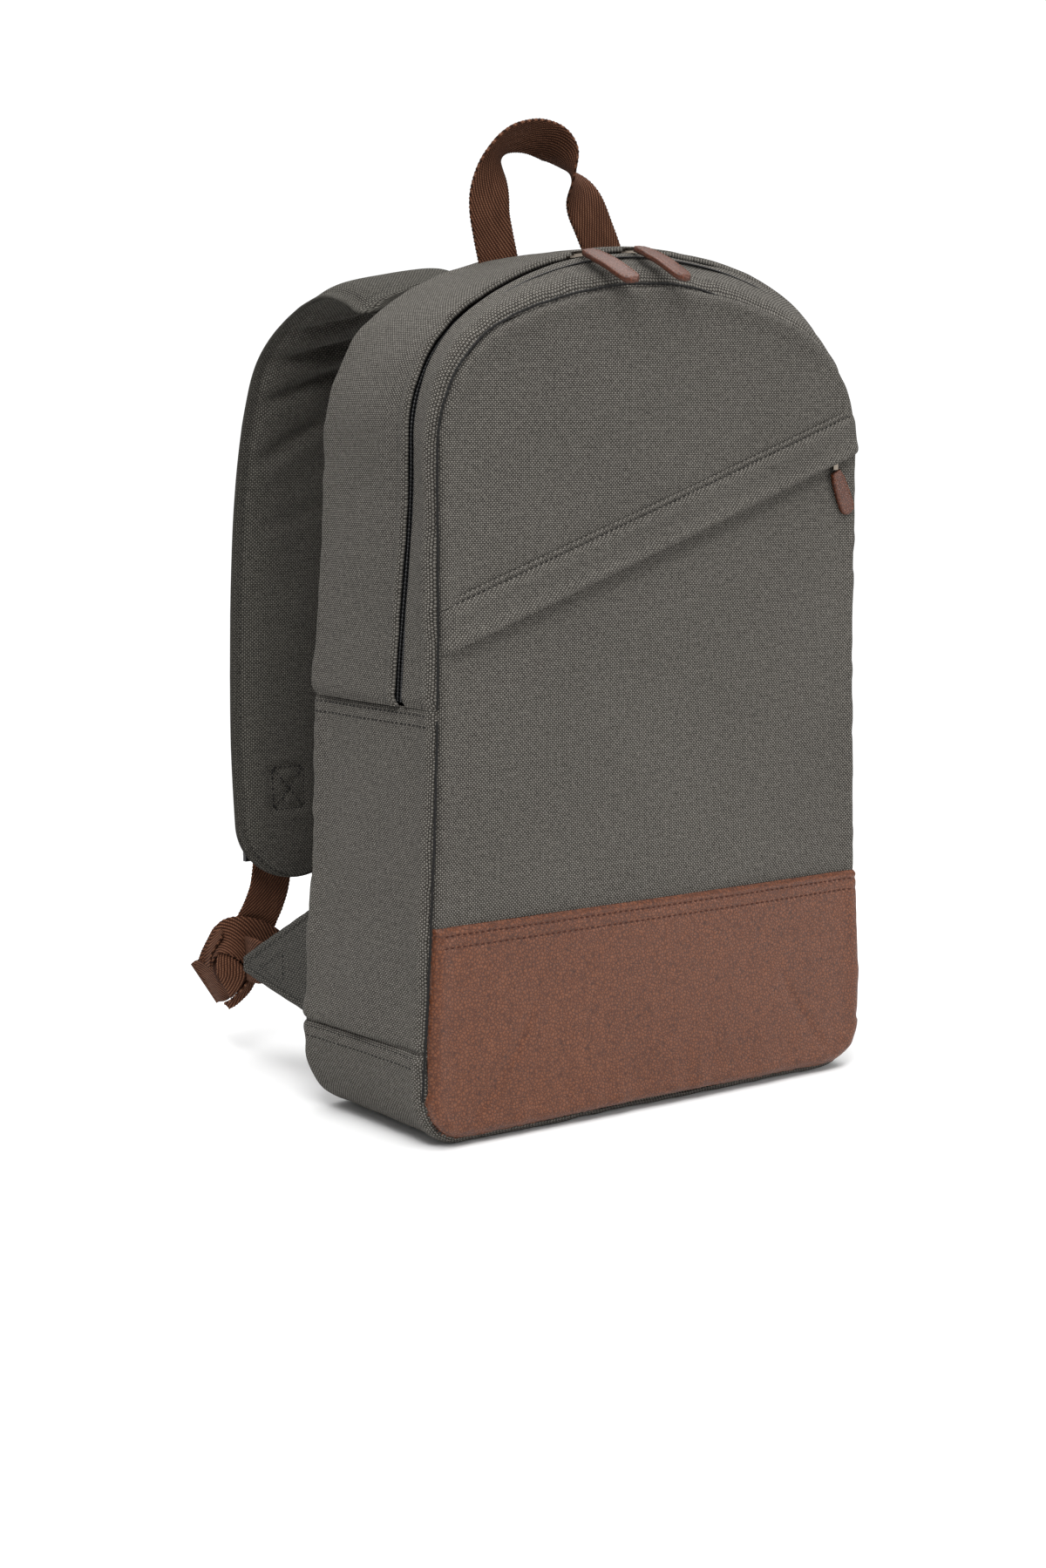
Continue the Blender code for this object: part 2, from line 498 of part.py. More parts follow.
# ================================================================ shoulder straps
STRAP_PATH = [  # y, z, centre x, roll (deg); the first point is on the hinge line's side of the top seam
    (DEPTH_BACK + 0.5, 419.0, 74.0, 19.0),
    (72.0, 425.0, 75.0, 14.0),
    (92.0, 425.0, 77.0, 9.0),
    (118.0, 413.0, 81.0, 6.0),
    (139.0, 391.0, 86.0, 4.0),
    (148.5, 358.0, 90.0, 2.0),
    (152.0, 315.0, 94.0, 0.0),
    (152.0, 270.0, 97.0, 0.0),
    (150.0, 225.0, 99.5, 0.0),
    (148.0, 185.0, 101.0, 0.0),
    (146.0, 150.0, 101.0, 0.0),
    (143.0, 108.0, 100.0, 0.0),
]


def strap_stations(n):
    pts = smooth_curve([(p[0], p[1], p[2]) for p in STRAP_PATH], n)
    rolls = smooth_curve([(p[3], 0, 0) for p in STRAP_PATH], n)
    total = [0.0]
    for a, b in zip(pts, pts[1:]):
        total.append(total[-1] + (b - a).length)
    out = []
    for i in range(n):
        a, b = pts[max(i - 1, 0)], pts[min(i + 1, n - 1)]
        t = Vector((0, b[0] - a[0], b[1] - a[1])).normalized()
        left = total[-1] - total[i]
        out.append((pts[i], t, math.radians(rolls[i][0]), left))
    return out


def strap_ring(st, sx, half_w, half_t, inset, end_r=36.0):
    (y, z, cx), t, roll, left = st
    share = 1.0
    if left < end_r:
        share = math.sqrt(max(0.0, 1 - ((end_r - left) / end_r) ** 2))
    hw = max(half_w * max(share, 0.30) - inset, 3.0)
    ht = half_t - inset
    wdir = (Vector((1, 0, 0)) * math.cos(roll) - Vector((0, 0, 1)) * math.sin(roll)).normalized()
    wdir = (wdir - t * wdir.dot(t)).normalized()
    n = t.cross(wdir)
    c_ = Vector((cx, y, z))
    ring = []
    for u, v in ((-1, -0.35), (-0.86, -1), (0.86, -1), (1, -0.35), (1, 0.35), (0.86, 1), (-0.86, 1), (-1, 0.35)):
        p = c_ + wdir * (hw * u) + n * (ht * v)
        ring.append((sx * p[0], p[1], p[2]))
    return ring


for sx, side in ((-1, "left"), (1, "right")):
    st = strap_stations(22)
    outer = [strap_ring(s, sx, STRAP_W / 2, STRAP_T / 2, 0.0) for s in st]
    inner = [strap_ring(s, sx, STRAP_W / 2, STRAP_T / 2, 1.2) for s in st[:-1]]
    outer[0] = [(x, DEPTH_BACK + GAP, z) for x, y, z in outer[0]]
    inner[0] = [(x, DEPTH_BACK + GAP, z) for x, y, z in inner[0]]
    sleeve_solid(f"strap_cover_{side}", outer, inner, CANVAS_GREY)
    foam = [strap_ring(s, sx, STRAP_W / 2, STRAP_T / 2, 1.8) for s in st[:-2]]
    foam[0] = [(x, DEPTH_BACK + GAP + 1.0, z) for x, y, z in foam[0]]
    rings_solid(f"strap_foam_{side}", foam, FOAM)

    # webbing keeper, ladder lock and adjuster webbing on the strap's outer face
    xc = sx * 109.0

    def face(z, off):
        """A point off the strap's outer face at a height."""
        for p, q in zip(st, st[1:]):
            if p[0][1] >= z >= q[0][1]:
                f = (p[0][1] - z) / (p[0][1] - q[0][1])
                return p[0][0] + (q[0][0] - p[0][0]) * f + STRAP_T / 2 + off
        return st[-1][0][0] + STRAP_T / 2 + off

    def ribbon(name, pts, mat, thick, half):
        P = [Vector((0, y, z)) for y, z in pts]
        rr = []
        for i, p in enumerate(P):
            t = (P[min(i + 1, len(P) - 1)] - P[max(i - 1, 0)]).normalized()
            n = Vector((0, -t.z, t.y))
            rr.append([(xc - half, *(p - n * thick / 2)[1:]), (xc + half, *(p - n * thick / 2)[1:]),
                       (xc + half, *(p + n * thick / 2)[1:]), (xc - half, *(p + n * thick / 2)[1:])])
        return rings_solid(name, rr, mat)

    f0 = face(138.0, 0.0)
    ribbon(f"lock_keeper_{side}",
           [(face(180.0, 1.5), 180.0), (face(162.0, 1.5), 162.0), (face(146.0, 1.6), 146.0), (f0 + 1.9, 137.2), (f0 + 2.6, 134.6), (f0 + 4.6, 133.5), (f0 + 6.6, 134.6),
            (f0 + 7.5, 137.2), (face(160.0, 7.2), 160.0)], WEBBING_TAN, 1.3, 12.7)
    lock = box(f"ladder_lock_{side}", (xc - 16.4, f0 + 3.1, 114.0), (xc + 16.4, f0 + 6.1, 142.0), PLASTIC)
    for z0, z1 in ((117.5, 125.0), (128.5, 138.0)):
        cut(lock, box(f"slot_{side}_{int(z0)}", (xc - 13.6, f0 - 4, z0), (xc + 13.6, f0 + 14, z1), PLASTIC))
    ribbon(f"adjuster_webbing_{side}",
           [(f0 + 6.0, 86.5), (f0 + 3.6, 97.0), (f0 + 1.6, 114.0), (f0 + 2.4, 119.2), (f0 + 4.6, 121.4), (f0 + 6.8, 123.2), (f0 + 7.6, 126.0), (f0 + 7.6, 131.2)],
           WEBBING_TAN, 1.3, 12.7)

# hook-and-loop tab that folds over the sleeve's top edge; it is sewn to the back lining
tab = plate("sleeve_tab", [(SLEEVE_Y - 2.2 - 2 * GAP - 1.6, 264.0), (SLEEVE_Y - 1.6 - 2 * GAP, 264.0), (SLEEVE_Y - 1.6 - 2 * GAP, 301.0), (DEPTH_BACK - 9.6, 301.0), (DEPTH_BACK - 9.6, 303.0), (SLEEVE_Y - 2.2 - 2 * GAP - 1.6, 303.0)], "x", -12.5, 12.5, WEBBING_TAN)


# ================================================================ origins on the joint axes
def set_origin(name, point):
    ob = bpy.data.objects[name]
    there = Matrix.Translation(Vector(point) * MM)
    ob.data.transform(there.inverted() @ ob.matrix_world)
    ob.matrix_world = there


for n in ("front_upper_panel", "front_pocket_panel", "pocket_placket", "placket_seam", "pocket_zip_tape_upper", "pocket_zip_tape_lower",
          "pocket_zip_coil_upper", "pocket_zip_coil_lower", "pocket_lining", "front_gusset", "main_zip_tape_front", "main_zip_coil_front"):
    set_origin(n, (0, DEPTH_FRONT, Z_FOLD - GAP / 2))
for side, deg in (("left", SLIDER_LEFT_DEG), ("right", SLIDER_RIGHT_DEG)):
    set_origin(f"slider_{side}", (0, ZIP_Y, TRACK_Z0))
    a = math.radians(deg)
    set_origin(f"pull_{side}", ((TRACK_R + 3.2) * math.sin(a), ZIP_Y - 11.0, TRACK_Z0 + (TRACK_R + 3.2) * math.cos(a)))
    for n in ("strap_cover", "strap_foam", "lock_keeper", "ladder_lock", "adjuster_webbing"):
        set_origin(f"{n}_{side}", ((-1 if side == "left" else 1) * 74.0, DEPTH_BACK + 0.2, 439.2))
set_origin("grab_handle", (0, HANDLE_Y, HANDLE_Z))
set_origin("sleeve_tab", (0, DEPTH_BACK - 9.7, 302.0))
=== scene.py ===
"""Looks of the canvas travel backpack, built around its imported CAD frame."""
import json
import math

import bpy
import numpy as np
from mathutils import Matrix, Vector

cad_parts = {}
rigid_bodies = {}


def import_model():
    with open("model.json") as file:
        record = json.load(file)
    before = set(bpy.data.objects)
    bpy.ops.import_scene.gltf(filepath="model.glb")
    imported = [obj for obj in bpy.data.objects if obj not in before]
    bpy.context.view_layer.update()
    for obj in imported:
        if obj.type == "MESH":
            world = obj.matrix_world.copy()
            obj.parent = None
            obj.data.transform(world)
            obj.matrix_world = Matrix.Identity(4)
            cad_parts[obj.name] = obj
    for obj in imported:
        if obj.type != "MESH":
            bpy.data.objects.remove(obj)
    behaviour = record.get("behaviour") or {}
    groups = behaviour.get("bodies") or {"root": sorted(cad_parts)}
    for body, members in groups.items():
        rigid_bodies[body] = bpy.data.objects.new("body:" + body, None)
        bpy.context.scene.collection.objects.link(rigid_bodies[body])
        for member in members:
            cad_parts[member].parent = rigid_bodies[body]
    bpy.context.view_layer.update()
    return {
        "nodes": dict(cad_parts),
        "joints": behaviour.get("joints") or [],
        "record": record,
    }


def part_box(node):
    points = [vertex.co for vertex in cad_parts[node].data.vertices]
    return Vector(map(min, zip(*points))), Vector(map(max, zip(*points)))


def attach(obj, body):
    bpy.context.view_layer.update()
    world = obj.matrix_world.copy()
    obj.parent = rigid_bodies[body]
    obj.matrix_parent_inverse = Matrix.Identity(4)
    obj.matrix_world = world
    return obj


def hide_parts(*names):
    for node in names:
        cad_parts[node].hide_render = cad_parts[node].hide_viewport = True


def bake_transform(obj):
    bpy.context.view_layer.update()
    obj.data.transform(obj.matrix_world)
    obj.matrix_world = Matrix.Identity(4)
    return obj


for _o in list(bpy.data.objects):
    bpy.data.objects.remove(_o)
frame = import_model()
MM = 0.001


def nbox(node):
    lo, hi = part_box(node)
    return np.array(lo) * 1000, np.array(hi) * 1000


# ------------------------------------------------------------------ sizes read from the frame (mm)
FRONT_Y = nbox("front_upper_panel")[0][1]            # face of the front panels
BACK_Y = nbox("back_panel")[1][1]                    # face of the back panel
Z_SIDE = nbox("side_panel_left")[1][2] + 0.35        # side seam under the zip gusset
Z_BOT = nbox("side_panel_left")[0][2]                # bottom seam on the sides
Z_LEATHER = nbox("leather_base_panel")[1][2]
Z_FOLD = nbox("front_pocket_panel")[0][2]
TRACK_TOP = nbox("main_zip_coil_rear")[1][2] + 0.1
LIP_Y = nbox("rear_gusset")[0][1]
STRIP_Y = nbox("front_gusset")[1][1]
ZIP_Y = -24.0
TRACK_R, CORNER_R, GUSSET_HALF = 200.0, 75.0, 139.0
FRONT_R, FRONT_TOP, FRONT_CORNER, FRONT_HALF = 250.0, nbox("front_upper_panel")[1][2], 70.0, 138.5
POCKET_Z0, POCKET_SLOPE = 309.5, 0.35


# ------------------------------------------------------------------ noise
def _hash(ix, iy, iz, seed):
    h = (ix * 374761393 + iy * 668265263 + iz * 1442695041 + seed * 97531) & 0xFFFFFFFF
    h = ((h ^ (h >> 13)) * 1274126177) & 0xFFFFFFFF
    return ((h ^ (h >> 16)) & 0xFFFF) / 32767.5 - 1.0


def noise3(p, scale, seed=0):
    q = np.asarray(p, float) / scale
    i = np.floor(q).astype(np.int64)
    f = q - i
    f = f * f * f * (f * (f * 6 - 15) + 10)
    out = 0.0
    for dx in (0, 1):
        for dy in (0, 1):
            for dz in (0, 1):
                w = (f[..., 0] if dx else 1 - f[..., 0]) * (f[..., 1] if dy else 1 - f[..., 1]) * (f[..., 2] if dz else 1 - f[..., 2])
                out = out + w * _hash(i[..., 0] + dx + 500, i[..., 1] + dy + 500, i[..., 2] + dz + 500, seed)
    return out


def fbm(p, scale, octaves=3, seed=0, gain=0.5):
    out, a = 0.0, 1.0
    for k in range(octaves):
        out = out + a * noise3(p, scale / 2 ** k, seed + 17 * k)
        a *= gain
    return out


# ------------------------------------------------------------------ mesh building
def make_object(name, verts, faces, uvs, mats, mat_index=None, smooth=True):
    """verts in mm; faces list of index tuples; uvs per vertex in metres."""
    me = bpy.data.meshes.new(name)
    me.from_pydata([tuple(v) for v in np.asarray(verts) * MM], [], faces)
    for m in mats:
        me.materials.append(m)
    layer = me.uv_layers.new(name="UVMap")
    loops = np.zeros(len(me.loops), np.int32)
    me.loops.foreach_get("vertex_index", loops)
    layer.data.foreach_set("uv", np.asarray(uvs, np.float32)[loops].ravel())
    if mat_index is not None:
        me.polygons.foreach_set("material_index", np.asarray(mat_index, np.int32))
    me.validate()
    if smooth:
        me.shade_smooth()
    ob = bpy.data.objects.new(name, me)
    bpy.context.scene.collection.objects.link(ob)
    return ob


def grid_normals(P, closed_v=False):
    du = np.gradient(P, axis=0)
    if closed_v:
        dv = (np.roll(P, -1, axis=1) - np.roll(P, 1, axis=1)) / 2
    else:
        dv = np.gradient(P, axis=1)
    n = np.cross(du, dv)
    ln = np.linalg.norm(n, axis=-1, keepdims=True)
    n = n / np.maximum(ln, 1e-9)
    return n


def grid_solid(name, P, UV, thick, mats, centre=(0, 0, 220), outward=None, inner_grid=None):
    """A thin closed shell from a grid of points (H, W, 3). thick is taken inwards."""
    P = np.asarray(P, float)
    H, W = P.shape[:2]
    N = grid_normals(P)
    if outward is not None:
        s = np.mean(N @ np.asarray(outward, float))
    else:
        s = np.mean(np.sum(N * (P - np.asarray(centre, float)), axis=-1))
    if s < 0:
        N = -N
    flip = s < 0
    Q = P - N * (thick if np.isscalar(thick) else np.asarray(thick)[..., None]) if inner_grid is None else np.asarray(inner_grid, float)
    verts = np.concatenate([P.reshape(-1, 3), Q.reshape(-1, 3)])
    uvs = np.concatenate([np.asarray(UV).reshape(-1, 2)] * 2)
    idx = np.arange(H * W).reshape(H, W)
    a, b, c, d = idx[:-1, :-1].ravel(), idx[1:, :-1].ravel(), idx[1:, 1:].ravel(), idx[:-1, 1:].ravel()
    outer = np.stack([a, b, c, d], 1)
    inner = np.stack([a, d, c, b], 1) + H * W
    if flip:
        outer, inner = outer[:, ::-1], inner[:, ::-1]
    rim = []
    loop = list(idx[:, 0]) + list(idx[-1, 1:]) + list(idx[-2::-1, -1]) + list(idx[0, -2:0:-1])
    n = len(loop)
    for i in range(n):
        p, q = loop[i], loop[(i + 1) % n]
        r = (p, p + H * W, q + H * W, q)
        rim.append(r[::-1] if not flip else r)
    faces = [tuple(int(v) for v in f) for f in outer] + [tuple(int(v) for v in f) for f in inner] + [tuple(int(v) for v in f) for f in rim]
    mi = [0] * len(outer) + [min(1, len(mats) - 1)] * len(inner) + [0] * len(rim)
    return make_object(name, verts, faces, uvs, mats, mi)


def tube_solid(name, R, UV, mats, mat_index=None, smooth=True):
    """A closed body from rings (H, W, 3), W points around, capped with fans. UV (H, W, 2)."""
    R = np.asarray(R, float)
    H, W = R.shape[:2]
    verts = [R.reshape(-1, 3), R[0].mean(0)[None], R[-1].mean(0)[None]]
    uvs = [np.asarray(UV).reshape(-1, 2), np.asarray(UV)[0].mean(0)[None], np.asarray(UV)[-1].mean(0)[None]]
    idx = np.arange(H * W).reshape(H, W)
    nx = np.roll(idx, -1, axis=1)
    f = np.stack([idx[:-1].ravel(), nx[:-1].ravel(), nx[1:].ravel(), idx[1:].ravel()], 1)
    # orientation test
    cen = R.mean(axis=1, keepdims=True)
    mid = H // 2
    v0, v1, v2 = R[mid, 0], R[mid, 1 % W], R[min(mid + 1, H - 1), 0]
    nrm = np.cross(v1 - v0, v2 - v0)
    flip = np.dot(nrm, v0 - cen[mid, 0]) < 0
    faces = [tuple(int(v) for v in (q[::-1] if flip else q)) for q in f]
    c0, c1 = H * W, H * W + 1
    for i in range(W):
        j = (i + 1) % W
        t0, t1 = (c0, int(idx[0, j]), int(idx[0, i])), (c1, int(idx[-1, i]), int(idx[-1, j]))
        faces += [t0[::-1] if flip else t0, t1[::-1] if flip else t1]
    mi = None
    if mat_index is not None:
        mi = list(np.asarray(mat_index).ravel()) + [0] * (2 * W)
    return make_object(name, np.concatenate(verts), faces, np.concatenate(uvs), mats, mi, smooth)


def resample(path, n=None, step=None, closed=False):
    P = np.asarray(path, float)
    if closed:
        P = np.vstack([P, P[:1]])
    s = np.concatenate([[0], np.cumsum(np.linalg.norm(np.diff(P, axis=0), axis=1))])
    if n is None:
        n = max(2, int(round(s[-1] / step)) + 1)
    t = np.linspace(0, s[-1], n)
    out = np.stack([np.interp(t, s, P[:, k]) for k in range(P.shape[1])], 1)
    return (out[:-1], t[:-1]) if closed else (out, t)


def catmull(points, n):
    P = np.asarray(points, float)
    P = np.vstack([2 * P[0] - P[1], P, 2 * P[-1] - P[-2]])
    segs = len(P) - 3
    t = np.linspace(0, segs, n)
    k = np.minimum(t.astype(int), segs - 1)
    u = (t - k)[:, None]
    a, b, c, d = P[k], P[k + 1], P[k + 2], P[k + 3]
    return 0.5 * (2 * b + (c - a) * u + (2 * a - 5 * b + 4 * c - d) * u ** 2 + (3 * b - a - 3 * c + d) * u ** 3)


def arch(half, top, r_top, r_corner, z0, widen=0.0, z_wide=300.0, step=2.0):
    """Dense three-centre arch: points (x, z), outward normals, arc length."""
    cx = half - r_corner
    dist = r_top - r_corner
    rise = math.sqrt(dist * dist - cx * cx)
    zt = top - r_top
    zc = zt + rise
    meet = math.atan2(cx, rise)
    z = np.linspace(z0, zc, 60)[:-1]
    right = [np.stack([half + widen * np.maximum(0, (z_wide - z) / 250) ** 1.5, z], 1)]
    a = np.linspace(math.pi / 2, meet, 60)[:-1]
    right.append(np.stack([cx + r_corner * np.sin(a), zc + r_corner * np.cos(a)], 1))
    a = np.linspace(meet, 0, 80)
    right.append(np.stack([r_top * np.sin(a), zt + r_top * np.cos(a)], 1))
    right = np.vstack(right)
    left = right[:-1].copy()
    left[:, 0] *= -1
    P, s = resample(np.vstack([left, right[::-1]]), step=step)
    T = np.gradient(P, axis=0)
    T /= np.linalg.norm(T, axis=1, keepdims=True)
    N = np.stack([-T[:, 1], T[:, 0]], 1)
    if N[len(N) // 2, 1] < 0:
        N = -N
    return P, N, s


def front_x(z):
    return FRONT_HALF + 12.5 * np.maximum(0.0, (250.0 - z) / 250.0) ** 1.5


def side_x(z):
    return GUSSET_HALF + 12.0 * np.maximum(0.0, (300.0 - z) / 250.0) ** 1.5


def front_top_z(x):
    """Height of the front panel's arch at x."""
    P, _, _ = FRONT_ARCH
    m = P[:, 1] > 300
    return np.interp(x, P[m, 0], P[m, 1])


FRONT_ARCH = arch(FRONT_HALF, FRONT_TOP, FRONT_R, FRONT_CORNER, 60.0, 12.5, 250.0)


def coons(bottom, top, left, right, nu, nv, cluster=0.45):
    """Grid (nv, nu) between four boundary curves. bottom and top run along u, left and right along v."""
    def lin(n):
        t = np.linspace(0, 1, n)
        return (1 - cluster) * t + cluster * (0.5 - 0.5 * np.cos(math.pi * t))

    def at(curve, t):
        c = np.asarray(curve, float)
        s = np.concatenate([[0], np.cumsum(np.linalg.norm(np.diff(c, axis=0), axis=1))])
        return np.stack([np.interp(t * s[-1], s, c[:, k]) for k in range(c.shape[1])], 1)

    u, v = lin(nu), lin(nv)
    B, T, L, R = at(bottom, u), at(top, u), at(left, v), at(right, v)
    U, Vv = u[None, :, None], v[:, None, None]
    S = (1 - Vv) * B[None] + Vv * T[None] + (1 - U) * L[:, None] + U * R[:, None]
    S = S - ((1 - U) * (1 - Vv) * B[0] + U * (1 - Vv) * B[-1] + (1 - U) * Vv * T[0] + U * Vv * T[-1])
    return S


def edge_distance(P, edges):
    """Distance of grid points (..., 2) to polylines, and the nearest boundary point."""
    E = np.vstack([resample(e, step=1.5)[0] for e in edges])
    flat = P.reshape(-1, 2)
    best = np.full(len(flat), 1e9)
    near = np.zeros((len(flat), 2))
    for i in range(0, len(flat), 4000):
        d = np.linalg.norm(flat[i:i + 4000, None] - E[None], axis=2)
        k = d.argmin(1)
        best[i:i + 4000] = d[np.arange(len(k)), k]
        near[i:i + 4000] = E[k]
    return best.reshape(P.shape[:-1]), near.reshape(P.shape)


def seam_profile(e, near, seed, dip=3.0, lam=2.4, puff=1.2, pucker=0.55, pl=7.0, reach=7.0):
    """Rise above the nominal surface near a seam: a crevice at the edge, a soft roll behind it, small puckers."""
    near3 = np.concatenate([near, np.zeros(near.shape[:-1] + (1,))], -1)
    roll = 1.3 * puff * np.exp(-((e - 5.5) / 6.0) ** 2)
    c = -1.45 * dip * np.exp(-(e / (0.85 * lam)) ** 1.2)
    pk = 1.5 * pucker * noise3(near3, pl, seed) + 1.1 * pucker * noise3(near3, pl * 2.7, seed + 5)
    return c + roll + pk * np.exp(-e / reach) * (1 - np.exp(-e / 1.5))


def uniform(v):
    return v


# ------------------------------------------------------------------ materials
def new_material(name, rough=0.9, sheen=0.0, spec=0.5, coat=0.0):
    m = bpy.data.materials.new(name)
    m.use_nodes = True
    nt = m.node_tree
    b = nt.nodes["Principled BSDF"]
    b.inputs["Roughness"].default_value = rough
    b.inputs["Specular IOR Level"].default_value = spec
    b.inputs["Sheen Weight"].default_value = sheen
    b.inputs["Sheen Roughness"].default_value = 0.5
    b.inputs["Coat Weight"].default_value = coat
    return m, nt, b


class NT:
    """Short hands for a node tree."""

    def __init__(self, nt):
        self.nt = nt

    def n(self, kind, **kw):
        x = self.nt.nodes.new(kind)
        for k, v in kw.items():
            setattr(x, k, v)
        return x

    def link(self, a, b):
        self.nt.links.new(a, b)

    def value(self, sock, v):
        if hasattr(v, "is_linked") or hasattr(v, "links"):
            self.link(v, sock)
        else:
            sock.default_value = v

    def math(self, op, a, b=None, c=None, clamp=False):
        x = self.n("ShaderNodeMath", operation=op, use_clamp=clamp)
        for i, v in enumerate((a, b, c)):
            if v is not None:
                self.value(x.inputs[i], v)
        return x.outputs[0]

    def ramp(self, fac, stops, interp="LINEAR"):
        x = self.n("ShaderNodeValToRGB")
        x.color_ramp.interpolation = interp
        el = x.color_ramp.elements
        while len(el) > len(stops):
            el.remove(el[-1])
        while len(el) < len(stops):
            el.new(0.5)
        for e, (p, c) in zip(el, stops):
            e.position = p
            e.color = (*c, 1.0) if len(c) == 3 else c
        self.link(fac, x.inputs[0])
        return x.outputs[0]

    def mix(self, fac, a, b, blend="MIX"):
        x = self.n("ShaderNodeMix", data_type="RGBA", blend_type=blend)
        self.value(x.inputs[0], fac)
        for s, v in ((x.inputs[6], a), (x.inputs[7], b)):
            if isinstance(v, tuple):
                s.default_value = (*v, 1.0)
            else:
                self.link(v, s)
        return x.outputs[2]

    def uv(self):
        return self.n("ShaderNodeUVMap", uv_map="UVMap").outputs[0]

    def mapping(self, vec, scale=(1, 1, 1), rot=(0, 0, 0), loc=(0, 0, 0)):
        x = self.n("ShaderNodeMapping")
        x.inputs["Scale"].default_value = scale
        x.inputs["Rotation"].default_value = rot
        x.inputs["Location"].default_value = loc
        self.link(vec, x.inputs["Vector"])
        return x.outputs[0]

    def noise(self, vec, scale=1.0, detail=2.0, rough=0.5, dist=0.0):
        x = self.n("ShaderNodeTexNoise")
        self.link(vec, x.inputs["Vector"])
        x.inputs["Scale"].default_value = scale
        x.inputs["Detail"].default_value = detail
        x.inputs["Roughness"].default_value = rough
        x.inputs["Distortion"].default_value = dist
        return x.outputs[0]

    def bump(self, height, strength=0.6, distance=0.0004, normal=None):
        x = self.n("ShaderNodeBump")
        x.inputs["Strength"].default_value = strength
        x.inputs["Distance"].default_value = distance
        self.link(height, x.inputs["Height"])
        if normal is not None:
            self.link(normal, x.inputs["Normal"])
        return x.outputs[0]


def srgb(r, g, b):
    def f(c):
        c /= 255.0
        return c / 12.92 if c <= 0.04045 else ((c + 0.055) / 1.055) ** 2.4
    return (f(r), f(g), f(b))


def canvas(name, dark, mid, light, pitch=0.0019, bump_mm=0.40, sheen=0.02):
    """Plain-weave cotton canvas: rounded over-and-under floats, uneven yarns, pale flecks."""
    m, nt, b = new_material(name, 0.95, sheen, 0.10)
    T = NT(nt)
    uv = T.uv()
    wob = T.noise(uv, 260.0, 1.0)
    sep = T.n("ShaderNodeSeparateXYZ")
    T.link(uv, sep.inputs[0])
    k = 2 * math.pi / pitch
    pu = T.math("MULTIPLY_ADD", sep.outputs[0], k, T.math("MULTIPLY", wob, 1.5))
    pv = T.math("MULTIPLY_ADD", sep.outputs[1], k, T.math("MULTIPLY", wob, 1.3))
    su, sv = T.math("SINE", pu), T.math("SINE", pv)
    prod = T.math("MULTIPLY", su, sv)                       # checker of floats
    h = T.math("ABSOLUTE", prod)
    h = T.math("POWER", h, 0.55)
    warp = T.math("GREATER_THAN", prod, 0.0)
    # uneven yarns along both directions, and pale and dark flecks a float or two long
    yu = T.noise(T.mapping(uv, (640, 120, 1)), 1.0, 2.0, 0.6)
    yv = T.noise(T.mapping(uv, (120, 640, 1)), 1.0, 2.0, 0.6)
    fleck = T.noise(uv, 1300.0, 2.0, 0.7)
    mott = T.noise(uv, 430.0, 3.0, 0.65)
    broad = T.noise(uv, 9.0, 3.0, 0.55)
    yarn = T.mix(warp, yu, yv)
    # the floats' height drives the tone: painted light on the float tops, painted shade in the hollows between them
    tone = T.math("ADD", T.math("MULTIPLY", h, 0.60), T.math("MULTIPLY", yarn, 0.20))
    tone = T.math("ADD", tone, T.math("MULTIPLY", fleck, 0.30))
    tone = T.math("ADD", tone, T.math("MULTIPLY", T.math("SUBTRACT", mott, 0.5), 0.40))
    tone = T.math("ADD", tone, T.math("MULTIPLY", warp, 0.26))
    tone = T.math("SUBTRACT", tone, 0.20)
    tone = T.math("ADD", tone, T.math("MULTIPLY", T.math("SUBTRACT", broad, 0.5), 0.10))
    col = T.ramp(tone, [(0.10, dark), (0.46, mid), (0.90, light)])
    T.link(col, b.inputs["Base Color"])
    height = T.math("ADD", h, T.math("MULTIPLY", yarn, 0.6))
    height = T.math("ADD", height, T.math("MULTIPLY", fleck, 0.25))
    T.link(T.bump(height, 0.85, bump_mm * 0.001), b.inputs["Normal"])
    return m


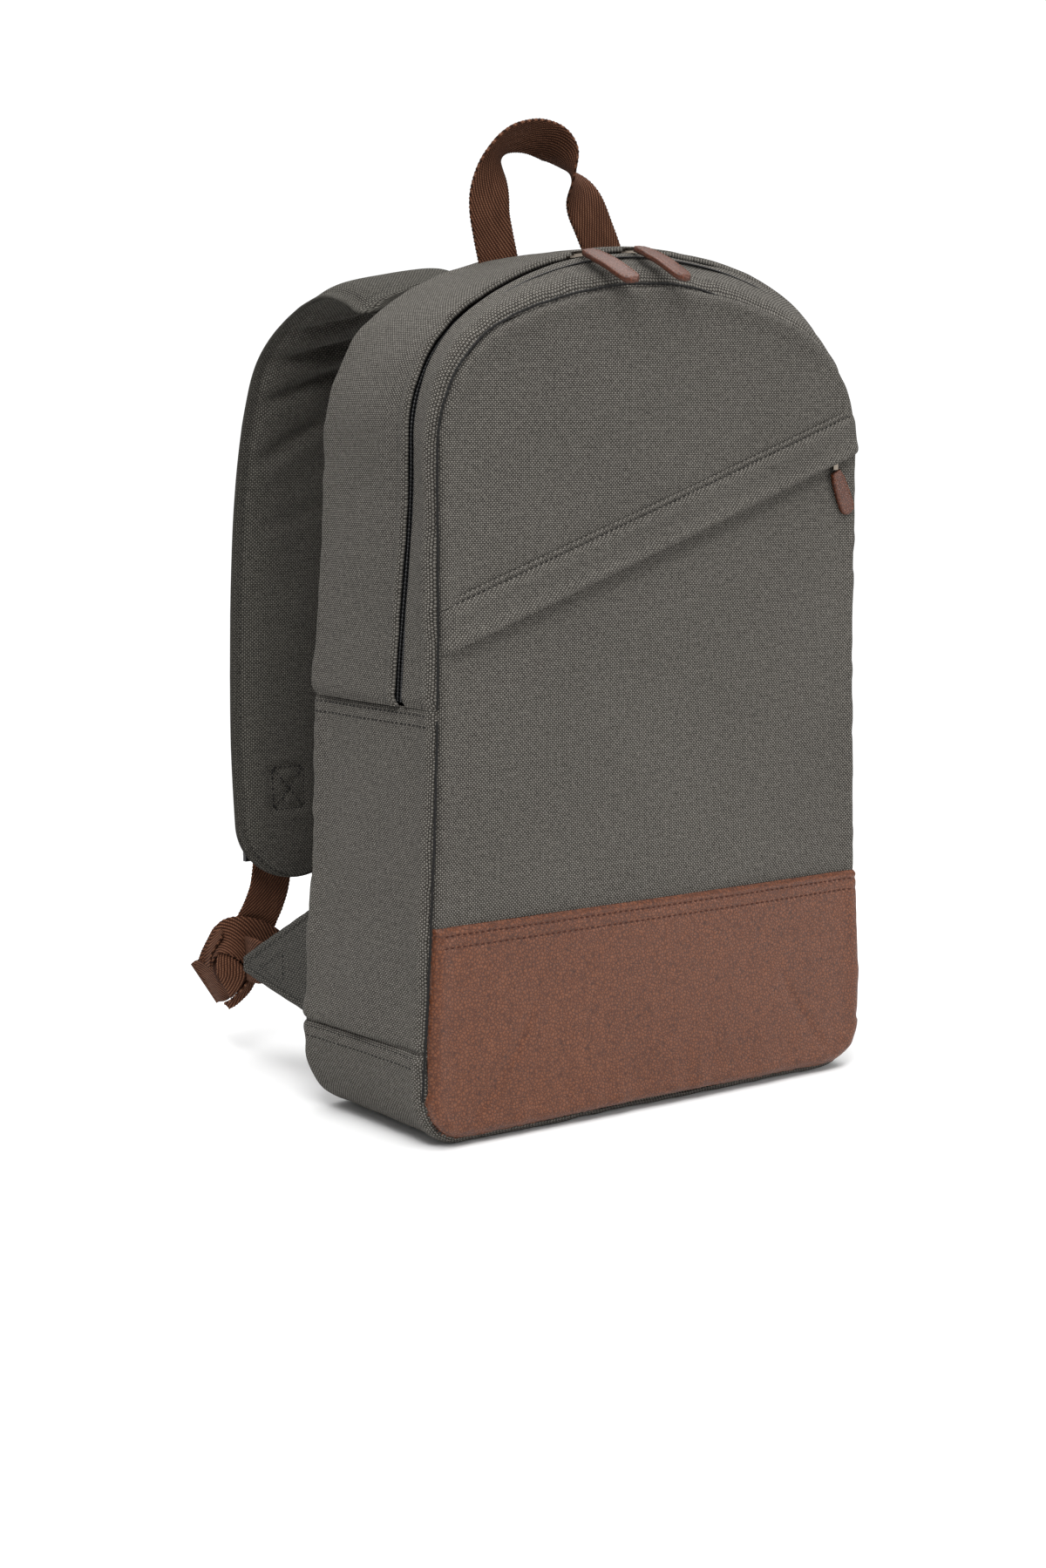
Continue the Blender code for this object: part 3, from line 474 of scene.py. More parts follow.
def leather(name, dark, mid, light, grain=0.0017, bump_mm=0.20, rough=0.40):
    """Pebbled faux leather: rounded cells of uneven size between fine creases, with painted shade darkening the creases
    and painted light brightening the cell tops.
    """
    m, nt, b = new_material(name, rough, 0.0, 0.36, 0.03)
    b.inputs["Coat Roughness"].default_value = 0.35
    T = NT(nt)
    uv = T.uv()
    wob = T.n("ShaderNodeTexNoise")
    T.link(uv, wob.inputs["Vector"])
    wob.inputs["Scale"].default_value = 420.0
    wob.inputs["Detail"].default_value = 2.0
    add = T.n("ShaderNodeMix", data_type="VECTOR")
    add.inputs[0].default_value = 0.0011
    T.link(uv, add.inputs[4])
    T.link(wob.outputs["Color"], add.inputs[5])
    v = T.n("ShaderNodeTexVoronoi", feature="DISTANCE_TO_EDGE")
    T.link(add.outputs[1], v.inputs["Vector"])
    v.inputs["Scale"].default_value = 1.0 / grain
    v2 = T.n("ShaderNodeTexVoronoi", feature="F1")
    T.link(add.outputs[1], v2.inputs["Vector"])
    v2.inputs["Scale"].default_value = 1.0 / (grain * 0.62)
    edge = T.math("MINIMUM", T.math("MULTIPLY", v.outputs["Distance"], 3.2), 1.0)
    edge = T.math("POWER", edge, 0.55)
    fine = T.noise(uv, 2600.0, 2.0, 0.6)
    broad = T.noise(uv, 14.0, 3.0, 0.5)
    midn = T.noise(uv, 160.0, 2.0, 0.5)
    # tone follows the distance from the creases: painted shade in the creases, painted light on the cell tops
    tone = T.math("ADD", T.math("MULTIPLY", edge, 0.52), T.math("MULTIPLY", broad, 0.16))
    tone = T.math("ADD", tone, T.math("MULTIPLY", midn, 0.22))
    tone = T.math("ADD", tone, T.math("MULTIPLY", fine, 0.12))
    col = T.ramp(tone, [(0.22, dark), (0.56, mid), (0.90, light)])
    T.link(col, b.inputs["Base Color"])
    r = T.math("ADD", T.math("MULTIPLY", edge, -0.10), T.math("ADD", T.math("MULTIPLY", midn, 0.16), rough))
    T.link(r, b.inputs["Roughness"])
    height = T.math("ADD", edge, T.math("MULTIPLY", v2.outputs["Distance"], -0.5))
    height = T.math("ADD", height, T.math("MULTIPLY", fine, 0.18))
    T.link(T.bump(height, 0.8, bump_mm * 0.001), b.inputs["Normal"])
    return m


def twill(name, dark, mid, light, pitch=0.0017, angle=62.0):
    """Twill webbing: slanted ribs broken into single floats, with painted shade between the ribs."""
    m, nt, b = new_material(name, 0.92, 0.0, 0.12)
    T = NT(nt)
    uv = T.uv()
    wob = T.noise(uv, 300.0, 1.0)
    sep = T.n("ShaderNodeSeparateXYZ")
    T.link(uv, sep.inputs[0])
    a = math.radians(angle)
    k = 2 * math.pi / pitch
    ph = T.math("ADD", T.math("MULTIPLY", sep.outputs[0], math.sin(a) * k), T.math("MULTIPLY", sep.outputs[1], math.cos(a) * k))
    ph = T.math("ADD", ph, T.math("MULTIPLY", wob, 1.1))
    rib = T.math("MULTIPLY_ADD", T.math("SINE", ph), 0.5, 0.5)
    ph2 = T.math("MULTIPLY_ADD", sep.outputs[1], 2 * math.pi / 0.00105, T.math("MULTIPLY", wob, 1.6))
    cross = T.math("MULTIPLY_ADD", T.math("SINE", ph2), 0.5, 0.5)
    yarn = T.noise(T.mapping(uv, (900, 60, 1)), 1.0, 2.0, 0.6)
    fleck = T.noise(uv, 1900.0, 2.0, 0.7)
    broad = T.noise(uv, 30.0, 2.0, 0.5)
    h = T.math("MULTIPLY", T.math("POWER", rib, 0.8), T.math("MULTIPLY_ADD", cross, 0.35, 0.65))
    # the ribs' height drives the tone: painted shade between the ribs
    tone = T.math("ADD", T.math("MULTIPLY", h, 0.55), T.math("MULTIPLY", yarn, 0.32))
    tone = T.math("ADD", tone, T.math("MULTIPLY", fleck, 0.22))
    tone = T.math("ADD", tone, T.math("MULTIPLY", T.math("SUBTRACT", broad, 0.5), 0.25))
    tone = T.math("SUBTRACT", tone, 0.08)
    col = T.ramp(tone, [(0.10, dark), (0.48, mid), (0.92, light)])
    T.link(col, b.inputs["Base Color"])
    T.link(T.bump(T.math("ADD", h, T.math("MULTIPLY", fleck, 0.2)), 0.8, 0.00032), b.inputs["Normal"])
    return m


def plain(name, colour, rough=0.6, metal=0.0, vary=0.25, scale=900.0, bump_mm=0.05, spec=0.5):
    """Moulded plastic, metal or thread, with a fine uneven finish."""
    m, nt, b = new_material(name, rough, 0.0, spec)
    b.inputs["Metallic"].default_value = metal
    T = NT(nt)
    co = T.n("ShaderNodeTexCoord").outputs["Object"]
    n1, n2 = T.noise(co, scale, 3.0, 0.6), T.noise(co, 120.0, 2.0, 0.5)
    tone = T.math("ADD", T.math("MULTIPLY", n1, 0.5), T.math("MULTIPLY", n2, 0.5))
    lo = tuple(c * (1 - vary) for c in colour)
    hi = tuple(min(1.0, c * (1 + vary)) for c in colour)
    T.link(T.ramp(tone, [(0.3, lo), (0.7, hi)]), b.inputs["Base Color"])
    r = T.math("MULTIPLY_ADD", n2, 0.2, rough - 0.1)
    T.link(r, b.inputs["Roughness"])
    T.link(T.bump(n1, 0.5, bump_mm * 0.001), b.inputs["Normal"])
    return m


def lining_material(name, colour, pitch=0.0006):
    m, nt, b = new_material(name, 0.7, 0.1, 0.4)
    T = NT(nt)
    uv = T.uv()
    sep = T.n("ShaderNodeSeparateXYZ")
    T.link(uv, sep.inputs[0])
    k = 2 * math.pi / pitch
    h = T.math("MULTIPLY", T.math("SINE", T.math("MULTIPLY", sep.outputs[0], k)), T.math("SINE", T.math("MULTIPLY", sep.outputs[1], k)))
    broad = T.noise(uv, 20.0, 3.0, 0.5)
    tone = T.math("ADD", T.math("MULTIPLY", h, 0.15), T.math("MULTIPLY", broad, 0.9))
    T.link(T.ramp(tone, [(0.2, tuple(c * 0.6 for c in colour)), (0.8, tuple(c * 1.35 for c in colour))]), b.inputs["Base Color"])
    T.link(T.bump(h, 0.4, 0.0001), b.inputs["Normal"])
    return m


CANVAS = canvas("canvas_grey", srgb(10, 9, 8), srgb(58, 55, 51), srgb(136, 132, 125))
CANVAS_BACK = canvas("canvas_strap", srgb(9, 8, 7), srgb(51, 49, 45), srgb(112, 109, 102))
LEATHER = leather("faux_leather", srgb(44, 18, 7), srgb(89, 46, 22), srgb(116, 69, 43))
PULL_LEATHER = leather("pull_leather", srgb(34, 14, 7), srgb(74, 37, 21), srgb(106, 60, 40), grain=0.0012, bump_mm=0.09, rough=0.36)
WEBBING = twill("webbing_brown", srgb(17, 8, 4), srgb(74, 44, 30), srgb(138, 100, 78))
CANVAS_TAB = canvas("canvas_tab", srgb(7, 7, 6), srgb(44, 43, 40), srgb(104, 101, 95), pitch=0.0024)
# a darker copy of the brown webbing: painted shade, for the knot's core
WEBBING_SHADE_PAINTED = twill("webbing_shade", srgb(14, 5, 2), srgb(52, 27, 16), srgb(96, 60, 43))
WEBBING_GREY = twill("webbing_grey", srgb(30, 30, 30), srgb(56, 55, 53), srgb(90, 88, 84))
LINING = lining_material("lining_grey", srgb(58, 57, 56))
THREAD = plain("thread_grey", srgb(19, 18, 17), 0.8, 0.0, 0.25, 2500.0, 0.03, 0.3)
THREAD_BROWN = plain("thread_brown", srgb(62, 30, 18), 0.75, 0.0, 0.25, 2500.0, 0.03, 0.3)
THREAD_PULL = plain("thread_pull", srgb(110, 70, 50), 0.7, 0.0, 0.2, 2500.0, 0.02, 0.3)
EDGE_PAINT = plain("leather_edge", srgb(82, 50, 40), 0.5, 0.0, 0.2, 600.0, 0.05)
TAPE = lining_material("zip_tape", srgb(26, 26, 27), 0.0008)
COIL = plain("zip_coil", srgb(30, 30, 31), 0.4, 0.0, 0.2, 800.0, 0.03)
BRASS = plain("dark_metal", (0.10, 0.085, 0.07), 0.34, 1.0, 0.25, 500.0, 0.02)
PLASTIC = plain("buckle_plastic", srgb(24, 24, 25), 0.42, 0.0, 0.2, 1400.0, 0.04)
VELCRO = plain("hook_loop", srgb(30, 30, 31), 0.95, 0.0, 0.4, 1800.0, 0.4, 0.2)
FOAMY = plain("foam", srgb(150, 150, 146), 0.95, 0.0, 0.1, 900.0, 0.2, 0.2)


# ------------------------------------------------------------------ stitches
STITCH = {}


def stitch_run(key, pts, nrm, mat, length=2.9, gap=0.9, width=0.75, lift=0.12, body="bag"):
    """Adds a run of stitches along a path (mm) on a surface with normals."""
    pts = np.asarray(pts, float)
    s = np.concatenate([[0], np.cumsum(np.linalg.norm(np.diff(pts, axis=0), axis=1))])
    n = int((s[-1] - gap) / (length + gap))
    off = (s[-1] - n * (length + gap)) / 2
    store = STITCH.setdefault(key, {"v": [], "f": [], "mat": mat, "body": body})
    for i in range(n):
        a = off + i * (length + gap) + gap / 2
        ts = np.linspace(a, a + length, 5)
        c = np.stack([np.interp(ts, s, pts[:, k]) for k in range(3)], 1)
        m = np.stack([np.interp(ts, s, np.asarray(nrm)[:, k]) for k in range(3)], 1)
        m /= np.linalg.norm(m, axis=1, keepdims=True)
        t = np.gradient(c, axis=0)
        t /= np.linalg.norm(t, axis=1, keepdims=True)
        b = np.cross(t, m)
        w = np.array([0.35, 0.85, 1.0, 0.85, 0.35]) * width / 2
        rise = np.array([-0.45, 0.1, 0.3, 0.1, -0.45]) * width + lift
        base = len(store["v"])
        for j in range(5):
            for k in range(6):
                ang = math.pi * 2 * k / 6
                store["v"].append(c[j] + m[j] * (rise[j] + w[j] * 0.75 * math.sin(ang)) + b[j] * w[j] * math.cos(ang))
        for j in range(4):
            for k in range(6):
                p, q = base + j * 6 + k, base + j * 6 + (k + 1) % 6
                store["f"].append((p, q, q + 6, p + 6))
        store["f"].append(tuple(base + k for k in range(6))[::-1])
        store["f"].append(tuple(base + 24 + k for k in range(6)))


def flush_stitches():
    for key, d in STITCH.items():
        v = np.array(d["v"])
        ob = make_object(key, v, d["f"], v[:, [0, 2]] * MM, [d["mat"]])
        bm_fix(ob)
        d["object"] = ob
        yield key, d, ob


def bm_fix(ob):
    import bmesh
    bm = bmesh.new()
    bm.from_mesh(ob.data)
    bmesh.ops.recalc_face_normals(bm, faces=bm.faces)
    bm.to_mesh(ob.data)
    bm.free()


STIFF = ("laptop", "sleeve", "hook", "grab", "strap", "adjuster", "lock", "knot", "anchor", "corner", "leather_pull", "stitch_strap", "stitch_tabs", "stitch_leather_pull")


def smooth01(t):
    t = np.clip(t, 0.0, 1.0)
    return t * t * (3 - 2 * t)


def lean(P):
    """The empty bag's upper back half stands a little to the right of its front, and its right shoulder stands up."""
    x, y, z = P[..., 0], P[..., 1], P[..., 2]
    w = smooth01((y + 50.0) / 26.0) * smooth01((z - 222.0) / 120.0)
    r = np.clip(x / 140.0, 0, 1)
    return np.stack([x + w * (6.8 + 2.4 * r), y, z + w * 5.2 * smooth01((x - 18.0) / 85.0)], -1)


def tuck(P, e, amount=2.7, lam=1.9, z0=100.0, z1=260.0):
    """Draws a front piece's edge inwards, so that it meets its neighbour at the bottom of the seam."""
    cx, cz = -P[..., 0], np.clip(P[..., 2], z0, z1) - P[..., 2]
    ln = np.maximum(np.hypot(cx, cz), 1e-6)
    w = amount * np.exp(-e / lam)
    return np.stack([P[..., 0] + cx / ln * w, P[..., 1], P[..., 2] + cz / ln * w], -1)


def finish_piece(ob, body, replaced=(), blend=None):
    if not ob.name.startswith(STIFF):
        co = np.zeros(len(ob.data.vertices) * 3, np.float32)
        ob.data.vertices.foreach_get("co", co)
        co = lean(co.reshape(-1, 3) / MM) * MM
        ob.data.vertices.foreach_set("co", co.astype(np.float32).ravel())
        ob.data.update()
    if blend:
        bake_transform(ob)
    else:
        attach(ob, body)
    if replaced:
        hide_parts(*replaced)
    return ob


# ------------------------------------------------------------------ the bag's surfaces
SEAM_Y = FRONT_Y + 3.2           # where the front seam line lies


def front_bulge(x, z):
    a = np.clip(1 - (x / 150.0) ** 2, 0, 1)
    b = np.clip(1 - ((z - 205.0) / 245.0) ** 2, 0, 1)
    return 1.7 * a * b ** 0.7


def front_surface(S, e, near, seed, wrinkle=1.0, **kw):
    """y of the front cloth at (x, z) points of a grid."""
    x, z = S[..., 0], S[..., 1]
    p = np.stack([x, z * 0 + seed, z], -1)
    y0 = FRONT_Y + 0.4
    rise = front_bulge(x, z) + seam_profile(e, near, seed, **kw)
    rise = rise + wrinkle * (0.55 * fbm(p * [1, 1, 1.0], 70.0, 2, seed) + 0.22 * fbm(p * [1.0, 1, 1.6], 22.0, 2, seed + 3))
    return y0 - rise


def zip_line(x, off=0.0):
    """z of a line parallel to the pocket zip, off mm square to it."""
    return POCKET_Z0 + POCKET_SLOPE * x + off / math.cos(math.atan(POCKET_SLOPE))


def front_edge_x(z):
    """Half width of the front outline at height z."""
    P = FRONT_ARCH[0]
    right = P[P[:, 0] >= 0][::-1]
    return np.interp(z, right[:, 1], right[:, 0])


def line_cross(side, off):
    """Where a line parallel to the pocket zip meets the outline's side; returns (x, z)."""
    z = zip_line(side * 138.0, off)
    for _ in range(20):
        x = side * front_edge_x(z)
        z = zip_line(x, off)
    return x, z


def outline_between(za, zb, side, n=60):
    z = np.linspace(za, zb, n)
    return np.stack([side * front_edge_x(z), z], 1)


# --- pocket panel and lower front: one cloth from under the leather's edge to the pocket zip
LOW_Z = Z_LEATHER - 3.0
SLOT = 5.6
xl, zl = line_cross(-1, -SLOT)
xr, zr = line_cross(1, -SLOT)
bot = np.array([[-front_edge_x(LOW_Z), LOW_Z], [front_edge_x(LOW_Z), LOW_Z]])
left, right = outline_between(LOW_Z, zl, -1), outline_between(LOW_Z, zr, 1)
topc = np.array([[xl, zl], [xr, zr]])
S = coons(bot, topc, left, right, 150, 120)
e, near = edge_distance(S, [left, right])
y = front_surface(S, e, near, 11)
# the cloth lies back under the placket, and dips a little where the leather's edge presses on it
dz = zip_line(S[..., 0], -19.0) - S[..., 1]
k = np.clip(1 - dz / 9.0, 0, 1)
k = k * k * (3 - 2 * k)
y = y * (1 - k) + np.maximum(y, FRONT_Y - 0.5) * k
y = y + 1.2 * np.exp(-np.clip(S[..., 1] - Z_LEATHER, 0, None) / 5.0)
P = tuck(np.stack([S[..., 0], y, S[..., 1]], -1), e)
lower_cloth = grid_solid("front_cloth_lower", P, S * MM, 1.3, [CANVAS, LINING], outward=(0, -1, 0))
FRONT_LOW = P

# --- upper front cloth, from the pocket zip to the arch
P_A = FRONT_ARCH[0]
xl, zl = line_cross(-1, SLOT)
xr, zr = line_cross(1, SLOT)
archp = P_A[P_A[:, 1] > 200]
corner_l, corner_r = (-118.0, front_top_z(-118.0)), (118.0, front_top_z(118.0))
left = np.array([p for p in P_A if p[0] < corner_l[0] and p[1] > zl])
left = np.vstack([[xl, zl], left, corner_l])
right = np.array([p for p in P_A[::-1] if p[0] > corner_r[0] and p[1] > zr])
right = np.vstack([[xr, zr], right, corner_r])
topc = np.array([p for p in P_A if corner_l[0] <= p[0] <= corner_r[0]])
topc = np.vstack([corner_l, topc, corner_r])
bot = np.array([[xl, zl], [xr, zr]])
S = coons(bot, topc, left, right, 150, 100)
e, near = edge_distance(S, [left, right, topc])
y = front_surface(S, e, near, 23)
P = tuck(np.stack([S[..., 0], y, S[..., 1]], -1), e)
upper_cloth = grid_solid("front_cloth_upper", P, S * MM, 1.3, [CANVAS, LINING], outward=(0, -1, 0))

# --- placket: a folded strip over the pocket zip, soft ridge above and a full rolled edge below
nu, nv = 200, 30
W_LOW, W_HIGH = -16.0, 8.5
U = np.linspace(0, 1, nu)
Vt = np.concatenate([np.linspace(0, 0.16, 9)[:-1], np.linspace(0.16, 0.78, 14), np.linspace(0.78, 1, 15)[1:]])
nv = len(Vt)
ends = [(line_cross(-1, W_LOW + (W_HIGH - W_LOW) * v), line_cross(1, W_LOW + (W_HIGH - W_LOW) * v)) for v in Vt]
S = np.array([[((1 - u) * a[0] + u * b[0], (1 - u) * a[1] + u * b[1]) for u in U] for a, b in ends])
x, z = S[..., 0], S[..., 1]
side_e = (x - S[:, :1, 0])
side_e = np.minimum(side_e, S[:, -1:, 0] - x)
v = Vt[:, None] * (W_HIGH - W_LOW)                    # mm up from the lower edge
pl3 = np.stack([x, x * 0 + 3, z * 0.5], -1)
low = 6.0 * (1 - np.exp(-(v / 1.2) ** 1.2))             # the free lower edge stands proud
body_h = 3.6 + 2.2 * np.exp(-((v - 2.6) / 3.6) ** 2) + 0.4 * noise3(pl3, 26.0, 5) + 0.25 * noise3(pl3, 9.0, 6)
groove = -0.95 * np.exp(-((v - 21.6) / 0.85) ** 2) + 0.9 * np.exp(-((v - 17.5) / 3.4) ** 2) + 0.5 * np.exp(-((v - 23.6) / 1.2) ** 2)
top = 1 - np.exp(-np.clip((W_HIGH - W_LOW) - v, 0, None) / 5.5)
height = np.minimum(low, body_h) * (0.10 + 0.90 * top) + groove
near3 = np.stack([x, x * 0, z], -1)
height = height * (1 - 0.75 * np.exp(-side_e / 5.0)) - 3.0 * np.exp(-(side_e / 2.4) ** 1.25)
base = FRONT_Y + 0.4 - front_bulge(x, z) - 0.55 * fbm(np.stack([x, x * 0 + 23, z], -1), 70.0, 2, 23)
P = tuck(np.stack([x, base - height, z], -1), side_e, z1=400.0)
placket = grid_solid("pocket_placket_cloth", P, S * MM, 1.6, [CANVAS, LINING], outward=(0, -1, 0))
k = int(np.argmin(np.abs(Vt * (W_HIGH - W_LOW) - 21.6)))
stitch_run("stitch_placket", P[k, 4:-4], np.tile([0, -1, 0], (nu - 8, 1)), THREAD, body="front_flap", lift=0.05, width=0.6, length=2.4)

# --- leather base
R_F = 24.0
zb = 3.0
w = front_x(49.0) + 0.5
ang = np.linspace(math.pi / 4, math.pi / 2, 20)
cz = zb + R_F
left = np.vstack([np.stack([-(w - R_F + R_F * np.sin(ang)), cz - R_F * np.cos(ang)], 1), outline_between(cz + 2, Z_LEATHER, -1)])
right = left * [-1, 1]
ang = np.linspace(math.pi / 4, 0, 20)
bl = np.stack([-(w - R_F + R_F * np.sin(ang)), cz - R_F * np.cos(ang)], 1)
bot = np.vstack([bl, (bl * [-1, 1])[::-1]])
topc = np.array([[left[-1, 0], Z_LEATHER], [right[-1, 0], Z_LEATHER]])
S = coons(bot, topc, left, right, 160, 80, 0.5)
e, near = edge_distance(S, [left, right, bot])
x, z = S[..., 0], S[..., 1]
d = np.maximum(Z_LEATHER - z, 0.0)
prof = seam_profile(e, near, 41, dip=3.4, lam=3.0, puff=1.0, pucker=0.7, pl=9.0, reach=16.0)
edge = 2.3 * (1 - np.exp(-(d / 0.8) ** 1.1)) + 0.5 * np.exp(-((d - 2.2) / 1.6) ** 2) - 0.65 * np.exp(-((d - 4.2) / 0.9) ** 2) + 0.25 * np.exp(-((d - 7.0) / 2.0) ** 2) - 0.55 * np.exp(-((d - 10.2) / 0.9) ** 2)
p3 = np.stack([x, x * 0 + 41, z], -1)
y = FRONT_Y + 0.6 - front_bulge(x, z) - prof - edge + 0.5 * np.exp(-d / 25.0) - 0.5 * fbm(p3 * [1, 1, 1.3], 60.0, 2, 42) - 0.12 * fbm(p3, 14.0, 2, 44)
# a few soft creases that run in from the lower corners
for sx, seed in ((-1, 1), (1, 2)):
    for q in range(4):
        cx0, cz0 = sx * (118 - 9 * q), 16 + 11 * q
        dx, dzz = math.cos(math.radians(38 + 9 * q)), math.sin(math.radians(38 + 9 * q))
        u_ = (x - cx0) * -sx * dx + (z - cz0) * dzz
        v_ = (x - cx0) * sx * dzz + (z - cz0) * dx
        y = y + 0.55 * np.exp(-(v_ / 2.4) ** 2) * np.exp(-((u_ - 6) / 15.0) ** 2)
P = tuck(np.stack([x, y, z], -1), e, z0=44.0, z1=260.0)
leather_base = grid_solid("leather_base", P, S * MM, 1.4, [LEATHER, LINING], outward=(0, -1, 0))
for dd, key in ((4.2, "stitch_leather"), (10.2, "stitch_leather")):
    row = []
    for i in range(P.shape[1]):
        col = P[:, i]
        zq = Z_LEATHER - dd
        row.append([np.interp(zq, col[:, 2], col[:, 0]), np.interp(zq, col[:, 2], col[:, 1]), zq])
    row = np.array(row)[6:-6]
    stitch_run(key, row, np.tile([0, -1, 0], (len(row), 1)), THREAD_BROWN, lift=0.05, width=0.85, length=2.8, gap=0.8)


# --- side panels, from the front seam to the back seam
def side_grid(sx, z_lo, z_hi, nz, seed, ny=64, pinch_top=True, pinch_bot=True):
    t = np.linspace(0, 1, ny)
    t = 0.5 * t + 0.5 * (0.5 - 0.5 * np.cos(math.pi * t))
    q = np.linspace(0, 1, nz)
    q = 0.5 * q + 0.5 * (0.5 - 0.5 * np.cos(math.pi * q))
    z = z_lo + (z_hi - z_lo) * q
    Z, Tt = np.meshgrid(z, t, indexing="ij")
    y0, y1 = SEAM_Y, BACK_Y - 2.0
    Y = y0 + (y1 - y0) * Tt
    xf, xb = front_x(Z) - 0.6, side_x(Z) + 1.4
    X = xf + (xb - xf) * Tt
    ef, eb = Y - y0, y1 - Y
    et, eb2 = z_hi - Z, Z - z_lo
    p3 = np.stack([X * 0 + seed, Y, Z], -1)
    e = np.minimum(ef, eb)
    rise = seam_profile(e, np.stack([Z, (ef < eb) * 50.0], -1), seed, dip=2.6, lam=2.6, puff=1.1, pucker=0.7, pl=8.0)
    if pinch_top:
        rise += seam_profile(et, np.stack([Y, Y * 0 + 9], -1), seed + 1, dip=2.2, lam=1.8, puff=0.7, pucker=0.5) * 0.42
    if pinch_bot:
        rise += seam_profile(eb2, np.stack([Y, Y * 0 + 19], -1), seed + 2, dip=2.2, lam=1.8, puff=0.7, pucker=0.5) * 0.9
    rise += 1.5 * np.sin(math.pi * Tt) + 0.8 * fbm(p3 * [1, 1, 0.7], 48.0, 2, seed) + 0.25 * fbm(p3, 17.0, 2, seed + 7)
    return np.stack([sx * (X + rise), Y, Z], -1), np.stack([Y, Z], -1)


for sx, side in ((-1, "left"), (1, "right")):
    P, UV = side_grid(sx, Z_BOT, Z_SIDE, 84, 51 + sx)
    ob = grid_solid(f"side_cloth_{side}", P, UV * MM, 1.3, [CANVAS, LINING], outward=(sx, 0, 0))
    finish_piece(ob, "bag", (f"side_panel_{side}",))
    for off in (3.2, 8.6):
        zq = Z_SIDE - off
        row = np.array([[np.interp(zq, P[:, j, 2], P[:, j, 0]), P[0, j, 1], zq] for j in range(P.shape[1])])[4:-4]
        stitch_run("stitch_sides", row, np.tile([sx, 0, 0], (len(row), 1)), THREAD, width=0.6, length=2.4, lift=0.08)

# --- bottom panel: trough that wraps up both sides
def trough(w, r, n=26):
    a = np.linspace(math.pi / 2, 0, n)
    left = np.stack([-(w - r + r * np.sin(a)), r - r * np.cos(a)], 1)
    return np.vstack([[-w, Z_BOT], left])


w_f, w_b = front_x(Z_BOT) - 0.6, side_x(Z_BOT) + 1.4
lf = trough(w_f, 25.0)
lb = trough(w_b, 36.0)
lf = np.vstack([lf, (lf * [-1, 1])[::-1]])
lb = np.vstack([lb, (lb * [-1, 1])[::-1]])
nt_ = 230
sf = np.concatenate([[0], np.cumsum(np.linalg.norm(np.diff(lf, axis=0), axis=1))])
sb = np.concatenate([[0], np.cumsum(np.linalg.norm(np.diff(lb, axis=0), axis=1))])
tt = np.linspace(0, 1, nt_)
tt = 0.8 * tt + 0.2 * (0.5 - 0.5 * np.cos(math.pi * tt))
LF = np.stack([np.interp(tt * sf[-1], sf, lf[:, k]) for k in range(2)], 1)
LB = np.stack([np.interp(tt * sb[-1], sb, lb[:, k]) for k in range(2)], 1)
ny = 50
q = np.linspace(0, 1, ny)
q = 0.5 * q + 0.5 * (0.5 - 0.5 * np.cos(math.pi * q))
Q = q[None, :, None]
L2 = LF[:, None] * (1 - Q) + LB[:, None] * Q
Tn = np.gradient(L2, axis=0)
Tn /= np.linalg.norm(Tn, axis=-1, keepdims=True)
Nn = np.stack([Tn[..., 1], -Tn[..., 0]], -1)
if Nn[nt_ // 2, 0, 1] > 0:
    Nn = -Nn
y0, y1 = SEAM_Y, BACK_Y - 2.0
Y = y0 + (y1 - y0) * np.repeat(q[None], nt_, 0)
S_len = np.repeat((tt * sb[-1])[:, None], ny, 1)
e1 = np.minimum(Y - y0, y1 - Y)
e2 = np.minimum(S_len, sb[-1] - S_len)
rise = seam_profile(e1, np.stack([S_len, (Y > 0) * 60.0], -1), 71, dip=2.8, lam=3.0, puff=0.9, pucker=0.8, pl=10.0)
rise += seam_profile(e2, np.stack([Y, (S_len > 200) * 60.0], -1), 73, dip=2.2, lam=1.8, puff=0.7, pucker=0.5) * 0.9
rise += 0.7 * fbm(np.stack([S_len, Y, S_len * 0], -1), 40.0, 2, 75) * (1 - np.exp(-e2 / 30.0) * 0.3)
flat = np.clip(Nn[..., 1] * -1, 0, 1) ** 6
rise = rise * (1 - flat) + np.minimum(rise, 0.0) * flat
P = np.stack([L2[..., 0] + Nn[..., 0] * rise, Y, np.maximum(L2[..., 1] + Nn[..., 1] * rise, 0.0)], -1)
ob = grid_solid("bottom_cloth", P, np.stack([Y, S_len], -1) * MM, 1.3, [CANVAS, LINING], centre=(0, 0, 120))
finish_piece(ob, "bag", ("bottom_panel",))
for sx in (-1, 1):
    for off in (3.2, 8.4):
        i = int(np.argmin(np.abs(S_len[:, 0] - off))) if sx < 0 else int(np.argmin(np.abs(sb[-1] - S_len[:, 0] - off)))
        stitch_run("stitch_sides", P[i, 4:-4], np.tile([sx, 0, 0], (ny - 8, 1)), THREAD, width=0.6, length=2.4, lift=0.08)

# --- rear gusset with its rolled rain lip
GP, GN, GS = arch(GUSSET_HALF + 2.5, TRACK_TOP + 2.5, TRACK_R + 2.5, CORNER_R + 2.5, Z_SIDE, 12.0, step=2.4)
